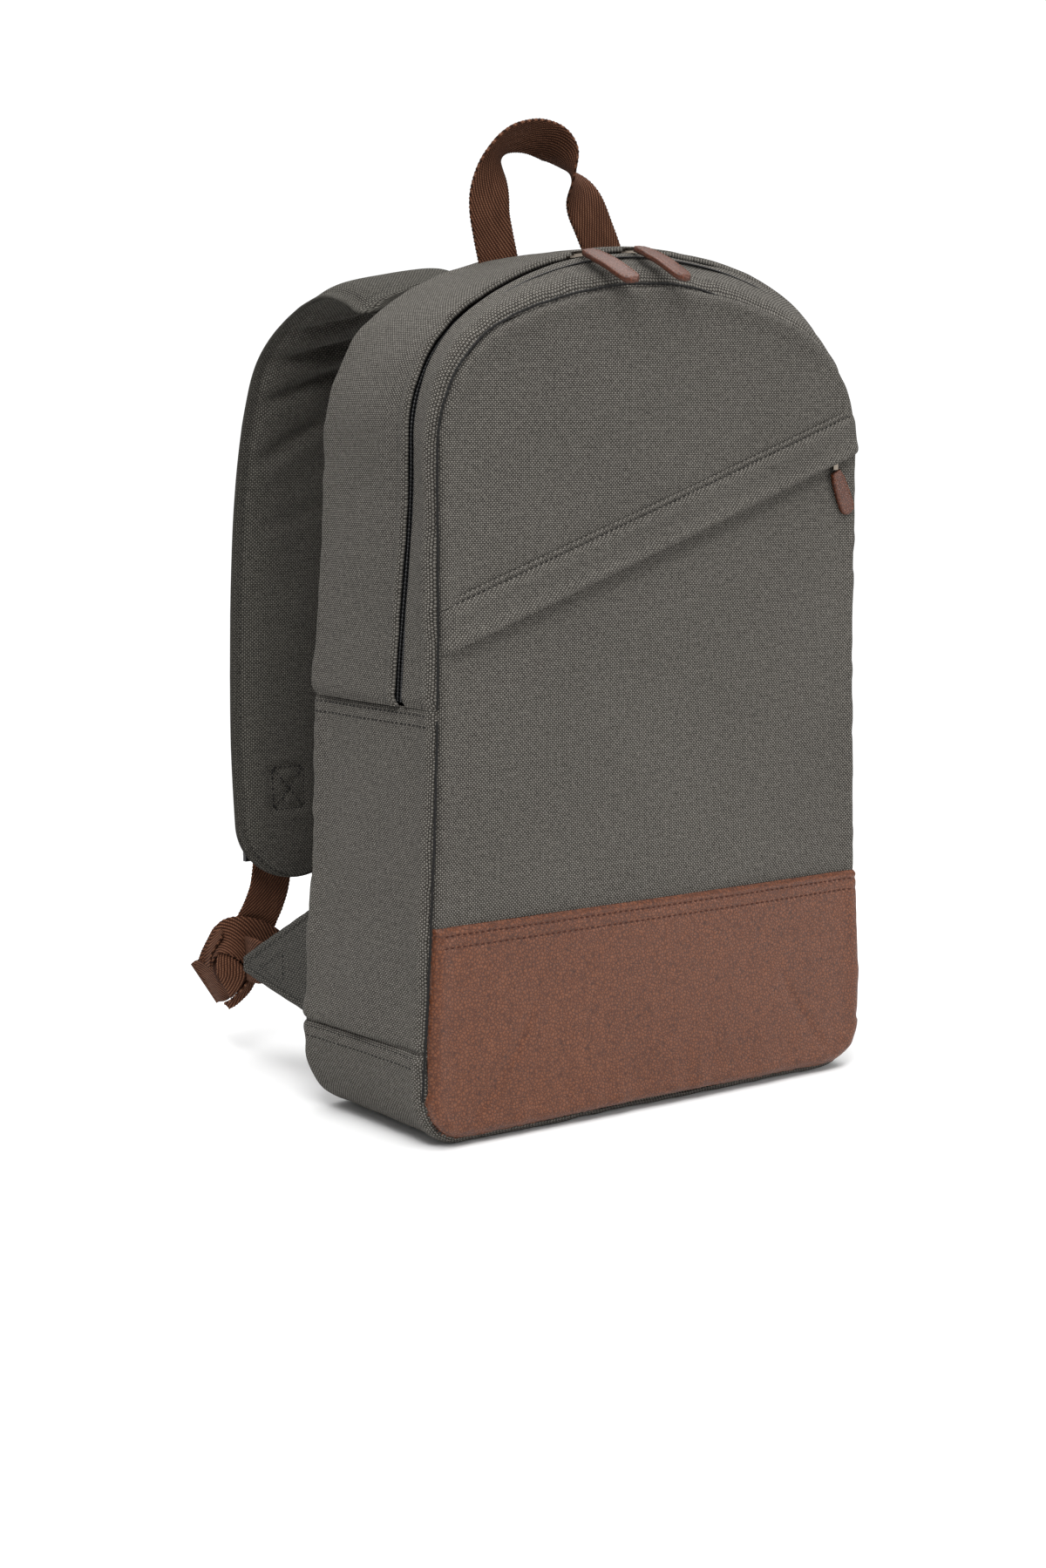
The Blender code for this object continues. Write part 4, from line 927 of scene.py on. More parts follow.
# section: (y, rise) from under the lip, round its roll, back to the rear seam
sec = [(LIP_Y + 7.0, -2.2), (LIP_Y + 4.0, -2.0), (LIP_Y + 1.6, -1.4), (LIP_Y + 0.4, -0.5), (LIP_Y, 0.6), (LIP_Y + 0.5, 1.7), (LIP_Y + 1.8, 2.5), (LIP_Y + 3.4, 2.7),
       (LIP_Y + 5.2, 2.3), (LIP_Y + 6.8, 1.45), (LIP_Y + 7.8, 1.1), (LIP_Y + 9.0, 1.3), (LIP_Y + 12.0, 1.5)]
yb = BACK_Y - 2.0
for yy in np.linspace(LIP_Y + 16.0, yb - 14.0, 16):
    sec.append((yy, 1.5 + 0.9 * math.sin(math.pi * (yy - LIP_Y) / (yb - LIP_Y))))
for dd in (11.0, 8.5, 6.5, 4.8, 3.2, 2.0, 1.0, 0.0):
    sec.append((yb - dd, 1.6 + 0.9 * math.exp(-((dd - 6.0) / 5.0) ** 2) - 3.6 * math.exp(-(dd / 2.4) ** 1.25)))
sec = np.array(sec)
nS, nA = len(sec), len(GP)
Yg = np.repeat(sec[None, :, 0], nA, 0)
Rg = np.repeat(sec[None, :, 1], nA, 0)
Sg = np.repeat(GS[:, None], nS, 1)
p3 = np.stack([Sg, Yg, Sg * 0 + 80], -1)
wr = 0.9 * fbm(p3 * [1.0, 0.6, 1], 42.0, 2, 81) + 0.35 * fbm(p3 * [1.0, 0.5, 1], 13.0, 2, 83)
body_w = np.clip((Yg - LIP_Y - 8.0) / 12.0, 0, 1)
Rg = Rg + wr * body_w + 0.25 * noise3(p3, 9.0, 84) * (1 - body_w) + 0.5 * noise3(p3 * [1, 0, 0], 11.0, 85) * np.exp(-(yb - Yg) / 9.0)
endd = np.minimum(Sg, GS[-1] - Sg)
Rg = Rg - 2.6 * np.exp(-(endd / 2.0) ** 1.3) + 0.7 * np.exp(-((endd - 4.5) / 3.5) ** 2)
X = GP[:, None, 0] + GN[:, None, 0] * Rg
Z = GP[:, None, 1] + GN[:, None, 1] * Rg
ypuck = 0.35 * noise3(np.stack([Sg, Sg * 0, Sg * 0 + 3], -1), 16.0, 86) * (1 - body_w)
P = np.stack([X, Yg + ypuck, Z], -1)
ob = grid_solid("rear_gusset_cloth", P, np.stack([Yg, Sg], -1) * MM, 1.3, [CANVAS, LINING], centre=(0, 0, 220))
finish_piece(ob, "bag", ("rear_gusset",))

# --- front gusset: the pillowy strip between the front seam and the zip
def pair_paths(step_n=260):
    f, fn, _ = arch(FRONT_HALF, FRONT_TOP, FRONT_R, FRONT_CORNER, Z_SIDE, 12.5, 250.0, step=1.0)
    g, gn, _ = arch(GUSSET_HALF, TRACK_TOP, TRACK_R, CORNER_R, Z_SIDE, 12.0, 300.0, step=1.0)

    def rs(c, n):
        s = np.concatenate([[0], np.cumsum(np.linalg.norm(np.diff(c, axis=0), axis=1))])
        t = np.linspace(0, s[-1], step_n)
        a = np.stack([np.interp(t, s, c[:, k]) for k in range(2)], 1)
        b = np.stack([np.interp(t, s, n[:, k]) for k in range(2)], 1)
        return a, b / np.linalg.norm(b, axis=1, keepdims=True), t
    return rs(f, fn) + rs(g, gn)


FA, FN, FS, GA, GNn, GSs = pair_paths()
y0, y1 = SEAM_Y, STRIP_Y + 0.6
sec = []
for dd in (0.0, 0.8, 1.7, 2.8, 4.0, 5.5, 7.5):
    sec.append((y0 + dd, -4.2 * math.exp(-(dd / 2.0) ** 1.2) + 1.9 * math.exp(-((dd - 6.5) / 5.0) ** 2) + 0.9))
for yy in np.linspace(y0 + 9.5, y1 - 5.5, 6):
    sec.append((yy, 1.5))
for dd, rr in ((4.0, 1.75), (2.6, 1.9), (1.3, 1.6), (0.4, 0.9), (0.0, 0.0), (0.3, -1.0), (1.4, -2.0), (3.5, -2.4)):
    sec.append((y1 - dd, rr))
sec = np.array(sec)
n1 = len(FA)
T_ = np.clip((sec[:, 0] - y0) / (ZIP_Y - 5.0 - y0), 0, 1)
A2 = FA[:, None] * (1 - T_[None, :, None]) + GA[:, None] * T_[None, :, None]
N2 = FN[:, None] * (1 - T_[None, :, None]) + GNn[:, None] * T_[None, :, None]
N2 /= np.linalg.norm(N2, axis=-1, keepdims=True)
Sg = np.repeat(FS[:, None], len(sec), 1)
Yg = np.repeat(sec[None, :, 0], n1, 0)
p3 = np.stack([Sg, Yg, Sg * 0 + 90], -1)
rise = sec[None, :, 1] + 0.8 * fbm(p3 * [1, 0.5, 1], 24.0, 2, 91) + 0.8 * noise3(p3 * [1, 0, 0], 8.0, 93) * np.exp(-(Yg - y0) / 8.0) * (1 - np.exp(-(Yg - y0) / 1.5))
endd = np.minimum(Sg, FS[-1] - Sg)
rise = rise - 2.2 * np.exp(-(endd / 2.0) ** 1.3) + 0.5 * np.exp(-((endd - 4.5) / 3.5) ** 2)
P = np.stack([A2[..., 0] + N2[..., 0] * rise, Yg, A2[..., 1] + N2[..., 1] * rise], -1)
front_gusset = grid_solid("front_gusset_cloth", P, np.stack([Yg, Sg], -1) * MM, 1.2, [CANVAS, LINING], centre=(0, 0, 220))

# ------------------------------------------------------------------ ribbons and small parts
def frames_of(C):
    T = np.gradient(C, axis=0)
    return T / np.maximum(np.linalg.norm(T, axis=1, keepdims=True), 1e-9)


def arc_length(C):
    return np.concatenate([[0], np.cumsum(np.linalg.norm(np.diff(C, axis=0), axis=1))])


def ribbon(name, C, Wd, half, thick, mats, camber=0.0, scallop=0.22, pitch=1.9, seed=0, across=13, wave=0.0):
    """A woven strip: centreline C, width directions Wd, half width, thickness; its edges are slightly scalloped."""
    C = np.asarray(C, float)
    n = len(C)
    T = frames_of(C)
    Wd = np.asarray(Wd, float)
    Wd = Wd - T * np.sum(Wd * T, axis=1, keepdims=True)
    Wd /= np.linalg.norm(Wd, axis=1, keepdims=True)
    N = np.cross(T, Wd)
    s = arc_length(C)
    half = np.broadcast_to(np.asarray(half, float), (n,))
    us = np.linspace(-1, 1, across)
    prof = [(u, 0.5) for u in us] + [(1.0, 0.0)] + [(u, -0.5) for u in us[::-1]] + [(-1.0, 0.0)]
    R, UV = [], []
    ph = 2 * math.pi * s / pitch
    for u, v in prof:
        edge = abs(u) > 0.999
        off = u * (half - (0.35 if v else 0.0) + (scallop * np.sin(ph + (1.1 if u > 0 else 0.0)) if edge else 0.0))
        p3 = np.stack([s, s * 0 + u * 12.7, s * 0 + seed], -1)
        w = wave * fbm(p3, 18.0, 2, seed + 60)
        R.append(C + Wd * off[:, None] + N * ((v * thick + camber * (1 - u * u) + w) * np.ones(n))[:, None])
        UV.append(np.stack([u * half + seed * 7.0, s + seed * 13.0], -1))
    return tube_solid(name, np.stack(R, 1), np.stack(UV, 1) * MM, mats)


def edges_ribbon(name, A, B, n, thick, mats, camber=0.0, seed=0, **kw):
    """A ribbon between two edge curves given by a few points each."""
    A, B = catmull(A, n), catmull(B, n)
    C = (A + B) / 2
    return ribbon(name, C, B - A, np.linalg.norm(B - A, axis=1) / 2, thick, mats, camber=camber, seed=seed, **kw)


def coil_tube(name, C, N, radius, pitch, mats, per=4, around=7):
    """A zip's row of teeth: a cord whose radius swells at each coil."""
    C = np.asarray(C, float)
    s = arc_length(C)
    n = int(s[-1] / pitch * per)
    t = np.linspace(0, s[-1], n)
    P = np.stack([np.interp(t, s, C[:, k]) for k in range(3)], 1)
    M = np.stack([np.interp(t, s, np.asarray(N)[:, k]) for k in range(3)], 1)
    T = frames_of(P)
    M -= T * np.sum(M * T, axis=1, keepdims=True)
    M /= np.linalg.norm(M, axis=1, keepdims=True)
    B = np.cross(T, M)
    r = radius * (0.80 + 0.20 * np.cos(2 * math.pi * t / pitch))
    R = np.stack([P + (M * math.cos(a) + B * math.sin(a)) * r[:, None] for a in np.linspace(0, 2 * math.pi, around + 1)[:-1]], 1)
    UV = np.stack([np.stack([t, t * 0 + k], -1) for k in range(around)], 1) * MM
    return tube_solid(name, R, UV, mats)


def cloth_inflate(ob, pins, frames=20, pressure=3.0, cap=4.0, grow=None, stiff=20.0, bend=0.6, mass=0.25):
    """Runs Blender's cloth with air pressure on a closed mesh, then keeps the moved points, none of them further than cap mm."""
    rest = np.zeros(len(ob.data.vertices) * 3, np.float32)
    ob.data.vertices.foreach_get("co", rest)
    rest = rest.reshape(-1, 3)
    g = ob.vertex_groups.new(name="pins")
    g.add([int(i) for i in pins], 1.0, "REPLACE")
    m = ob.modifiers.new("Cloth", "CLOTH")
    c = m.settings
    c.quality = 6
    c.mass = mass
    c.tension_stiffness = stiff
    c.compression_stiffness = stiff
    c.shear_stiffness = stiff * 0.4
    c.bending_stiffness = bend
    c.use_pressure = True
    c.uniform_pressure_force = pressure
    c.vertex_group_mass = "pins"
    c.effector_weights.gravity = 0
    if grow is not None:
        gg = ob.vertex_groups.new(name="grow")
        for i, w in enumerate(grow):
            if w > 0.01:
                gg.add([i], float(w), "REPLACE")
        c.vertex_group_shrink = "grow"
        c.shrink_min = 0.0
        c.shrink_max = -0.12
    m.collision_settings.use_collision = False
    m.collision_settings.use_self_collision = False
    m.point_cache.frame_start = 1
    m.point_cache.frame_end = frames + 1
    sc = bpy.context.scene
    for f in range(1, frames + 1):
        sc.frame_set(f)
    dg = bpy.context.evaluated_depsgraph_get()
    ev = ob.evaluated_get(dg)
    new = np.zeros(len(ob.data.vertices) * 3, np.float32)
    ev.data.vertices.foreach_get("co", new)
    new = new.reshape(-1, 3)
    ob.modifiers.remove(m)
    ob.vertex_groups.clear()
    sc.frame_set(1)
    d = new - rest
    if not np.isfinite(d).all():
        d[:] = 0
    ln = np.linalg.norm(d, axis=1, keepdims=True)
    lim = cap * MM
    d = d * (lim * np.tanh(ln / lim) / np.maximum(ln, 1e-9))
    return rest + d


# --- dark cords in the thread's material, lying in the crevice between the front and the sides: painted shade for the seams' grooves
def seam_shade_cord(name, P2, N2, body):
    P2, N2 = np.asarray(P2), np.asarray(N2)
    s_ = np.concatenate([[0], np.cumsum(np.linalg.norm(np.diff(P2, axis=0), axis=1))])
    w_ = 0.35 * noise3(np.stack([s_, s_ * 0, s_ * 0 + 5], -1), 7.0, 151)
    r_ = np.clip((P2[:, 0] - 5.0) / 55.0, 0, 1)
    r_ = r_ * r_ * (3 - 2 * r_)                      # deeper in the seam on the right, where the front is drawn in further
    in_ = 0.75 + 2.85 * r_ + w_
    C_ = np.stack([P2[:, 0] - N2[:, 0] * in_, FRONT_Y + 1.15 + 1.9 * r_ + 0.5 * w_, P2[:, 1] - N2[:, 1] * in_], 1)
    ob_ = coil_tube(name, C_, np.stack([N2[:, 0], N2[:, 0] * 0, N2[:, 1]], 1), 0.85, 3.1, [THREAD])
    finish_piece(ob_, body)


# painted shade cords along the arch's seam and down both sides
A_P, A_N, _ = FRONT_ARCH
m_ = A_P[:, 1] > 218.0
seam_shade_cord("seam_front_arch", A_P[m_], A_N[m_], "front_flap")
for sx in (-1, 1):
    zz_ = np.linspace(26.0, 214.0, 90)
    seam_shade_cord("seam_front_" + ("left" if sx < 0 else "right"), np.stack([sx * front_x(zz_), zz_], 1), np.tile([float(sx), 0.0], (90, 1)), "bag")

# --- main zip: tapes and coils, with the sliders' metal and the leather pulls
def track_path(off, y, z0=Z_SIDE + 2.0, step=2.0):
    P_, N_, _ = arch(GUSSET_HALF, TRACK_TOP, TRACK_R, CORNER_R, z0, 12.0, 300.0, step=step)
    C = np.stack([P_[:, 0] + N_[:, 0] * off, P_[:, 0] * 0 + y, P_[:, 1] + N_[:, 1] * off], 1)
    return C, np.stack([N_[:, 0], N_[:, 0] * 0, N_[:, 1]], 1)


for yy, key, body in ((ZIP_Y + 1.6, "rear", "bag"), (ZIP_Y - 1.6, "front", "front_flap")):
    C, N = track_path(-1.15, yy, step=1.0)
    ob = coil_tube(f"main_coil_{key}", C, N, 1.08, 2.0, [COIL])
    finish_piece(ob, body, (f"main_zip_coil_{key}",))
C, N = track_path(-0.95, ZIP_Y + 9.4)
ob = ribbon("main_tape_rear", C, np.tile([0, 1.0, 0], (len(C), 1)), 6.5, 0.6, [TAPE], scallop=0.0, across=5)
finish_piece(ob, "bag", ("main_zip_tape_rear",))
C, N = track_path(-0.9, ZIP_Y - 7.4)
ob = ribbon("main_tape_front", C, np.tile([0, 1.0, 0], (len(C), 1)), 4.5, 0.6, [TAPE], scallop=0.0, across=5)
finish_piece(ob, "front_flap", ("main_zip_tape_front",))

# --- pocket zip
ca, sa = math.cos(math.atan(POCKET_SLOPE)), math.sin(math.atan(POCKET_SLOPE))


def pocket_line(off, y, x0=-131.0, x1=127.0, n=140):
    x = np.linspace(x0, x1, n)
    return np.stack([x - off * sa, x * 0 + y, POCKET_Z0 + POCKET_SLOPE * x + off * ca], 1)


for off, key in ((1.4, "upper"), (-1.4, "lower")):
    C = pocket_line(off, FRONT_Y + 1.05, n=400)
    ob = coil_tube(f"pocket_coil_{key}", C, np.tile([0, -1.0, 0], (len(C), 1)), 0.85, 1.5, [COIL])
    finish_piece(ob, "front_flap", (f"pocket_zip_coil_{key}",))
    C = pocket_line(7.5 if off > 0 else -7.5, FRONT_Y + 2.75)
    ob = ribbon(f"pocket_tape_{key}", C, np.tile([-sa, 0, ca], (len(C), 1)), 5.5, 0.5, [TAPE], scallop=0.0, across=5)
    finish_piece(ob, "front_flap", (f"pocket_zip_tape_{key}",))


# --- leather pulls: two layers sewn together round the edge
def leather_pull(name, matrix, length, w, thick, root, droop, body, node, lie=None):
    """Local frame: x across, y along (towards -y), z out of the face. matrix maps it to the row frame in mm."""
    ts = np.concatenate([np.linspace(0, 0.12, 8)[:-1], np.linspace(0.12, 0.86, 30), 1 - (1 - 0.86) * (1 - np.linspace(0, 1, 14)[1:]) ** 1.6])
    y = -root[1] - (length - root[1]) * ts
    left_ = length + y                                     # mm to the tip
    hw = np.interp(-y, [root[1], 6.0, 14.0, length], [root[0], w - 0.6, w, w])
    tip = np.where(left_ < w, np.sqrt(np.maximum(w * w - (w - left_) ** 2, 0.0)) / w, 1.0)
    hw = np.maximum(hw * tip, 0.15)
    top = [(-0.90, 0.80), (-0.80, 1.0), (-0.66, 0.93), (-0.45, 1.0), (0.0, 1.06), (0.45, 1.0), (0.66, 0.93), (0.80, 1.0), (0.90, 0.80), (0.985, 0.40), (0.955, 0.0)]
    ring = top + [(0.985, -0.40)] + [(u, -v) for u, v in top[8::-1]] + [(-0.985, -0.40), (-0.955, 0.0), (-0.985, 0.40)]
    th = thick / 2 * np.clip(np.minimum(left_ / 1.3, 1.0), 0.25, 1) ** 0.5
    R, UV = [], []
    bend = -droop * (np.clip(-y / length, 0, 1) ** 1.7)
    rot = np.array(matrix)
    for u, v in ring:
        p = np.stack([u * hw, y, v * th + bend + 0.12 * noise3(np.stack([u * hw, y, y * 0], -1), 5.0, 3)], 1)
        R.append(p @ rot[:3, :3].T + rot[:3, 3])
        UV.append(np.stack([u * hw, y + 40 * (v < 0)], -1))
    ob = tube_solid(name, np.stack(R, 1), np.stack(UV, 1) * MM, [PULL_LEATHER])
    finish_piece(ob, body, (node,))
    # stitching 1.5 mm in from the edge, on the face that shows
    inset = 1.55
    loc = []
    keep = (left_ > inset) & (-y > root[1] + 1.5)
    yy_, hh, bb, tt_ = y[keep], hw[keep] - inset, bend[keep], th[keep]
    hh = np.where(length + yy_ < w, np.sqrt(np.maximum((w - inset) ** 2 - (w - (length + yy_)) ** 2, 0.0)), hh)
    one = np.stack([-hh, yy_, bb + tt_ * 0.95], 1)
    two = np.stack([hh, yy_, bb + tt_ * 0.95], 1)[::-1]
    line = np.vstack([one, two]) @ rot[:3, :3].T + rot[:3, 3]
    up_ = np.tile(rot[:3, 2], (len(line), 1))
    stitch_run("stitch_" + name, line, up_, THREAD_PULL, length=1.5, gap=0.7, width=0.42, lift=0.02, body=body)


def slider_matrix(deg, skew):
    from mathutils import Matrix
    a = math.radians(deg)
    f_ = Matrix.Translation(Vector((TRACK_R * math.sin(a), ZIP_Y, TRACK_TOP - TRACK_R + TRACK_R * math.cos(a)))) @ Matrix.Rotation(a, 4, "Y")
    return np.array(f_ @ Matrix.Translation(Vector((0, -11.0, 3.2))) @ Matrix.Rotation(math.radians(12.0), 4, "X") @ Matrix.Rotation(math.radians(skew), 4, "Z"))


leather_pull("leather_pull_left", slider_matrix(-9.4, -4.0), 42.0, 5.6, 3.2, (3.4, 1.1), 7.5, "main_pull_left", "pull_left")
leather_pull("leather_pull_right", slider_matrix(0.0, -0.5), 42.0, 5.6, 3.2, (3.4, 1.1), 8.5, "main_pull_right", "pull_right")
from mathutils import Matrix
pm = np.array(Matrix.Translation(Vector((118.0, FRONT_Y - 2.3, 331.85))) @ Matrix.Rotation(math.radians(-26.0), 4, "Y")) @ np.array([[1, 0, 0, 0], [0, 0, -1, 0], [0, 1, 0, 0], [0, 0, 0, 1.0]])
leather_pull("leather_pull_pocket", pm, 26.0, 5.2, 2.8, (3.0, 0.9), 0.6, "pocket_pull_body", "pocket_pull")

# --- grab handle: one strip of twill webbing, twisted as it goes over the top
HY, HZ = 42.0, nbox("grab_handle")[0][2] + 0.0
loop = [(-32.5, 0), (-35.2, 11.0), (-37.6, 23.0), (-37.2, 36.0), (-35.0, 47.5), (-30.5, 56.0), (-22.9, 61.2), (-11.1, 63.2), (0.8, 61.2), (8.8, 55.3), (15.1, 45.6), (20.2, 37.5), (25.7, 27.9), (30.2, 20.1), (36.0, 9.0), (40.0, 0)]
loop = [(-30.6, -9.0)] + loop + [(44.0, -9.0)]
C = catmull([(x, HY, HZ + z) for x, z in loop], 260)
s = arc_length(C)
C, s = resample(C, n=240)
q = np.clip((C[:, 2] - HZ) / 1.0, 0, None)
i0, i1 = int(np.argmax(C[:, 2] > HZ)), len(C) - int(np.argmax(C[::-1, 2] > HZ)) - 1
fr = np.clip((s - s[i0]) / (s[i1] - s[i0]), 0, 1)
k = np.clip((np.minimum(fr, 1 - fr) - 0.17) / 0.28, 0, 1)
k = k * k * (3 - 2 * k) * math.pi / 2
Wd = np.stack([np.cos(k), 0.8 * np.sin(k), -0.6 * np.sin(k)], 1)
handle = ribbon("grab_handle_webbing", C, Wd, 12.7, 1.7, [WEBBING], camber=0.5, scallop=0.28, seed=1, across=13, wave=0.35)

# --- triangular corner tabs
TAB_BASE, TAB_TIP = [(BACK_Y - 3.0, 46.0), (BACK_Y - 3.0, 108.0)], [(129.0, 58.5), (129.0, 66.5)]
for sx, side in ((-1, "left"), (1, "right")):
    lo_e = np.array([TAB_BASE[0], TAB_TIP[0]])
    hi_e = np.array([TAB_BASE[1], TAB_TIP[1]])
    S = coons(lo_e, hi_e, np.array(TAB_BASE), np.array(TAB_TIP), 70, 50, 0.6)
    e, near = edge_distance(S, [lo_e, hi_e, np.array(TAB_TIP)])
    near3 = np.concatenate([near, near[..., :1] * 0], -1)
    h = 0.75 + 1.25 * (1 - np.exp(-(e / 1.5))) - 0.55 * np.exp(-((e - 4.2) / 0.9) ** 2) + 0.35 * np.exp(-((e - 2.2) / 1.3) ** 2) + 0.18 * noise3(near3, 6.0, 5) * np.exp(-e / 6) * (1 - np.exp(-e / 1.0))
    h = h + 0.25 * fbm(np.stack([S[..., 0], S[..., 1], S[..., 0] * 0], -1), 22.0, 2, 31)
    xm = sx * 141.6 + sx * 0.8 * np.sin((S[..., 0] - 54) / 75 * math.pi)
    P = np.stack([xm + sx * h, S[..., 0], S[..., 1]], -1)
    Q = np.stack([xm - sx * h, S[..., 0], S[..., 1]], -1)
    ob = grid_solid(f"corner_tab_cloth_{side}", P, S * MM, 1.0, [CANVAS_TAB, CANVAS_TAB], outward=(sx, 0, 0), inner_grid=Q)
    finish_piece(ob, "bag", (f"corner_tab_{side}",))
    # edge stitching and the box with a cross that holds the webbing
    for fac in (1, -1):
        G = P if fac > 0 else Q
        nrm = np.array([sx * fac, 0, 0.0])

        def on_tab(y_, z_):
            d_ = np.hypot(G[..., 1] - y_, G[..., 2] - z_)
            i_, j_ = np.unravel_index(d_.argmin(), d_.shape)
            return G[i_, j_, 0]

        def tab_line(a, b, n_=24):
            yz = np.linspace(a, b, n_)
            return np.array([[on_tab(y_, z_), y_, z_] for y_, z_ in yz])
        tip_lo, tip_hi = np.array(TAB_TIP[0]) + [-4.5, 1.5], np.array(TAB_TIP[1]) + [-4.5, -1.5]
        lines = [(np.array([57.0, 51.2]), tip_lo + [0, 2.2]), (np.array([57.0, 101.5]), tip_hi + [0, -2.2]), (tip_lo + [0, 2.2], tip_hi + [0, -2.2]),
                 (np.array([84.0, 59.0]), np.array([84.0, 78.0])), (np.array([84.0, 59.0]), np.array([112.0, 66.0])), (np.array([84.0, 78.0]), np.array([112.0, 61.0]))]
        for a, b in lines:
            L = tab_line(a, b)
            stitch_run("stitch_tabs", L, np.tile(nrm, (len(L), 1)), THREAD, length=2.3, gap=0.9, width=0.6, lift=0.0)
    # webbing sewn under the tab and running out into the knot
    yz = [(88.0, 137.2, 66.0), (104.0, 137.2, 65.0), (120.0, 136.9, 64.2), (132.0, 135.2, 63.0), (142.0, 131.5, 61.5), (152.0, 127.5, 60.0)]
    C = catmull([(sx * x, y_, z_) for y_, x, z_ in yz], 60)
    ob = ribbon(f"anchor_strip_{side}", C, np.tile([0, 0.05, 1.0], (60, 1)), np.interp(C[:, 1], [88, 112, 125, 152], [9.0, 10.5, 12.5, 12.5]), 1.5, [WEBBING], camber=0.2, seed=2)
    finish_piece(ob, "bag", (f"anchor_webbing_{side}",))

# --- tied spare webbing: the strip is looped over itself into a flat knot and its hemmed end sticks out behind
KR, KU, KF = np.array([.806, -.592, 0.0]), np.array([.085, .115, .990]), np.array([-.586, -.798, .143])
K0 = np.array([-125.5, 165.0, 57.0])


def kp(cx, cy, f):
    """A point given across and up from the knot's middle, in the plane square to the line from its front, and f towards that side."""
    return K0 + KR * (cx - 410.5) * 0.0869 + KU * (782.0 - cy) * 0.0869 + KF * f


def knot_pieces():
    out = []
    # outer turn, from the tab side over the front and down behind the hemmed end
    A = [kp(706, 640, -10), kp(655, 585, -3), kp(590, 540, 3), kp(520, 512, 7), kp(440, 500, 9), kp(372, 510, 9), kp(312, 545, 8), kp(252, 618, 5), kp(202, 693, 1), kp(158, 785, -5)]
    B = [kp(560, 900, -6), kp(530, 868, 2), kp(500, 838, 8), kp(462, 800, 13), kp(412, 762, 17), kp(352, 742, 18), kp(300, 745, 16), kp(268, 775, 11), kp(252, 810, 6), kp(248, 862, -3)]
    out.append(("knot_turn", A, B, 1.6, -1.6, 4))
    # second layer of the turn, lying under the first along its left side
    A = [kp(330, 528, 5.5), kp(282, 560, 4.5), kp(225, 640, 2), kp(180, 715, -2), kp(140, 800, -8)]
    B = [kp(300, 640, 13.5), kp(276, 700, 12.0), kp(252, 745, 8.5), kp(238, 790, 4), kp(232, 850, -4)]
    out.append(("knot_turn_under", A, B, 1.5, -0.6, 5))
    # the flat leaf that comes out under the turn and points down
    A = [kp(330, 700, 12.5), kp(296, 745, 13.5), kp(282, 800, 14), kp(283, 850, 13.5), kp(298, 905, 12), kp(330, 968, 9), kp(366, 1028, 5)]
    B = [kp(372, 700, 12.5), kp(372, 742, 15), kp(412, 782, 15.5), kp(455, 830, 13.5), kp(474, 872, 12), kp(440, 950, 8.5), kp(376, 1030, 5)]
    out.append(("knot_leaf", A, B, 1.6, 0.9, 6))
    # the turn's end that passes below, seen edge on under the leaf
    A = [kp(540, 880, -4), kp(528, 915, 0), kp(490, 990, 2), kp(440, 1045, 2.5), kp(398, 1082, 2), kp(356, 1108, 0)]
    B = [kp(480, 860, 6), kp(488, 905, 7), kp(455, 960, 8), kp(418, 1000, 7.5), kp(370, 1046, 6.0), kp(318, 1070, 2)]
    out.append(("knot_under", A, B, 1.6, 0.5, 7))
    # tail going back to the hemmed end
    A = [kp(300, 800, 7), kp(262, 782, 3), kp(215, 780, -3), kp(150, 792, -13), kp(92, 822, -22)]
    B = [kp(372, 1030, 3), kp(350, 1046, 0), kp(318, 1062, -4), kp(282, 1072, -12), kp(262, 1078, -20)]
    out.append(("knot_tail", A, B, 1.5, 0.4, 8))
    return out


KNOT_LIST = knot_pieces()
for sx, side in ((-1, "left"), (1, "right")):
    mirror = np.array([1.0, 1, 1]) if sx < 0 else np.array([-1.0, 1, 1])
    first = True
    for nm, A, B, th, cam_, seed in KNOT_LIST:
        ob = edges_ribbon(f"{nm}_{side}", np.array(A) * mirror, np.array(B) * mirror, 90, th, [WEBBING], camber=cam_ * (1 if sx < 0 else -1), seed=seed, wave=0.25)
        finish_piece(ob, "bag", (f"webbing_knot_{side}",) if first else ())
        first = False
    # the hem: the end folded twice and sewn across
    hem = np.linspace(kp(84, 826, -23.5), kp(258, 1080, -21.5), 40)
    hd = (hem[-1] - hem[0]) / np.linalg.norm(hem[-1] - hem[0])
    out_dir = (kp(150, 790, -13) - kp(262, 782, 3))
    out_dir -= hd * (out_dir @ hd)
    out_dir /= np.linalg.norm(out_dir)
    up_dir = np.cross(hd, out_dir)
    R, UV = [], []
    for a in np.linspace(0, 2 * math.pi, 17)[:-1]:
        rx, ry = 3.4 * math.cos(a), 1.9 * math.sin(a) * (1 + 0.12 * math.cos(2 * a))
        R.append((hem + out_dir * rx + up_dir * ry) * mirror)
        UV.append(np.stack([np.full(40, a * 2.6), arc_length(hem)], -1))
    ob = tube_solid(f"knot_hem_{side}", np.stack(R, 1), np.stack(UV, 1) * MM, [WEBBING])
    finish_piece(ob, "bag")
    # a small core in a darker copy of the webbing, painted shade, so that no daylight shows between the turns
    R, UV = [], []
    tt2 = np.linspace(-1, 1, 16)
    cen = np.stack([kp(395, 780, 0) + KU * 19 * t for t in tt2])
    for a in np.linspace(0, 2 * math.pi, 21)[:-1]:
        k2 = np.sqrt(np.maximum(0.02, 1 - np.abs(tt2) ** 2.4))
        R.append((cen + (KR * 13.5 * math.cos(a) + KF * 8.5 * math.sin(a)) * k2[:, None]) * mirror)
        UV.append(np.stack([np.full(16, a * 12.0), tt2 * 22], -1))
    ob = tube_solid(f"knot_core_{side}", np.stack(R, 1), np.stack(UV, 1) * MM, [WEBBING_SHADE_PAINTED])
    finish_piece(ob, "bag")

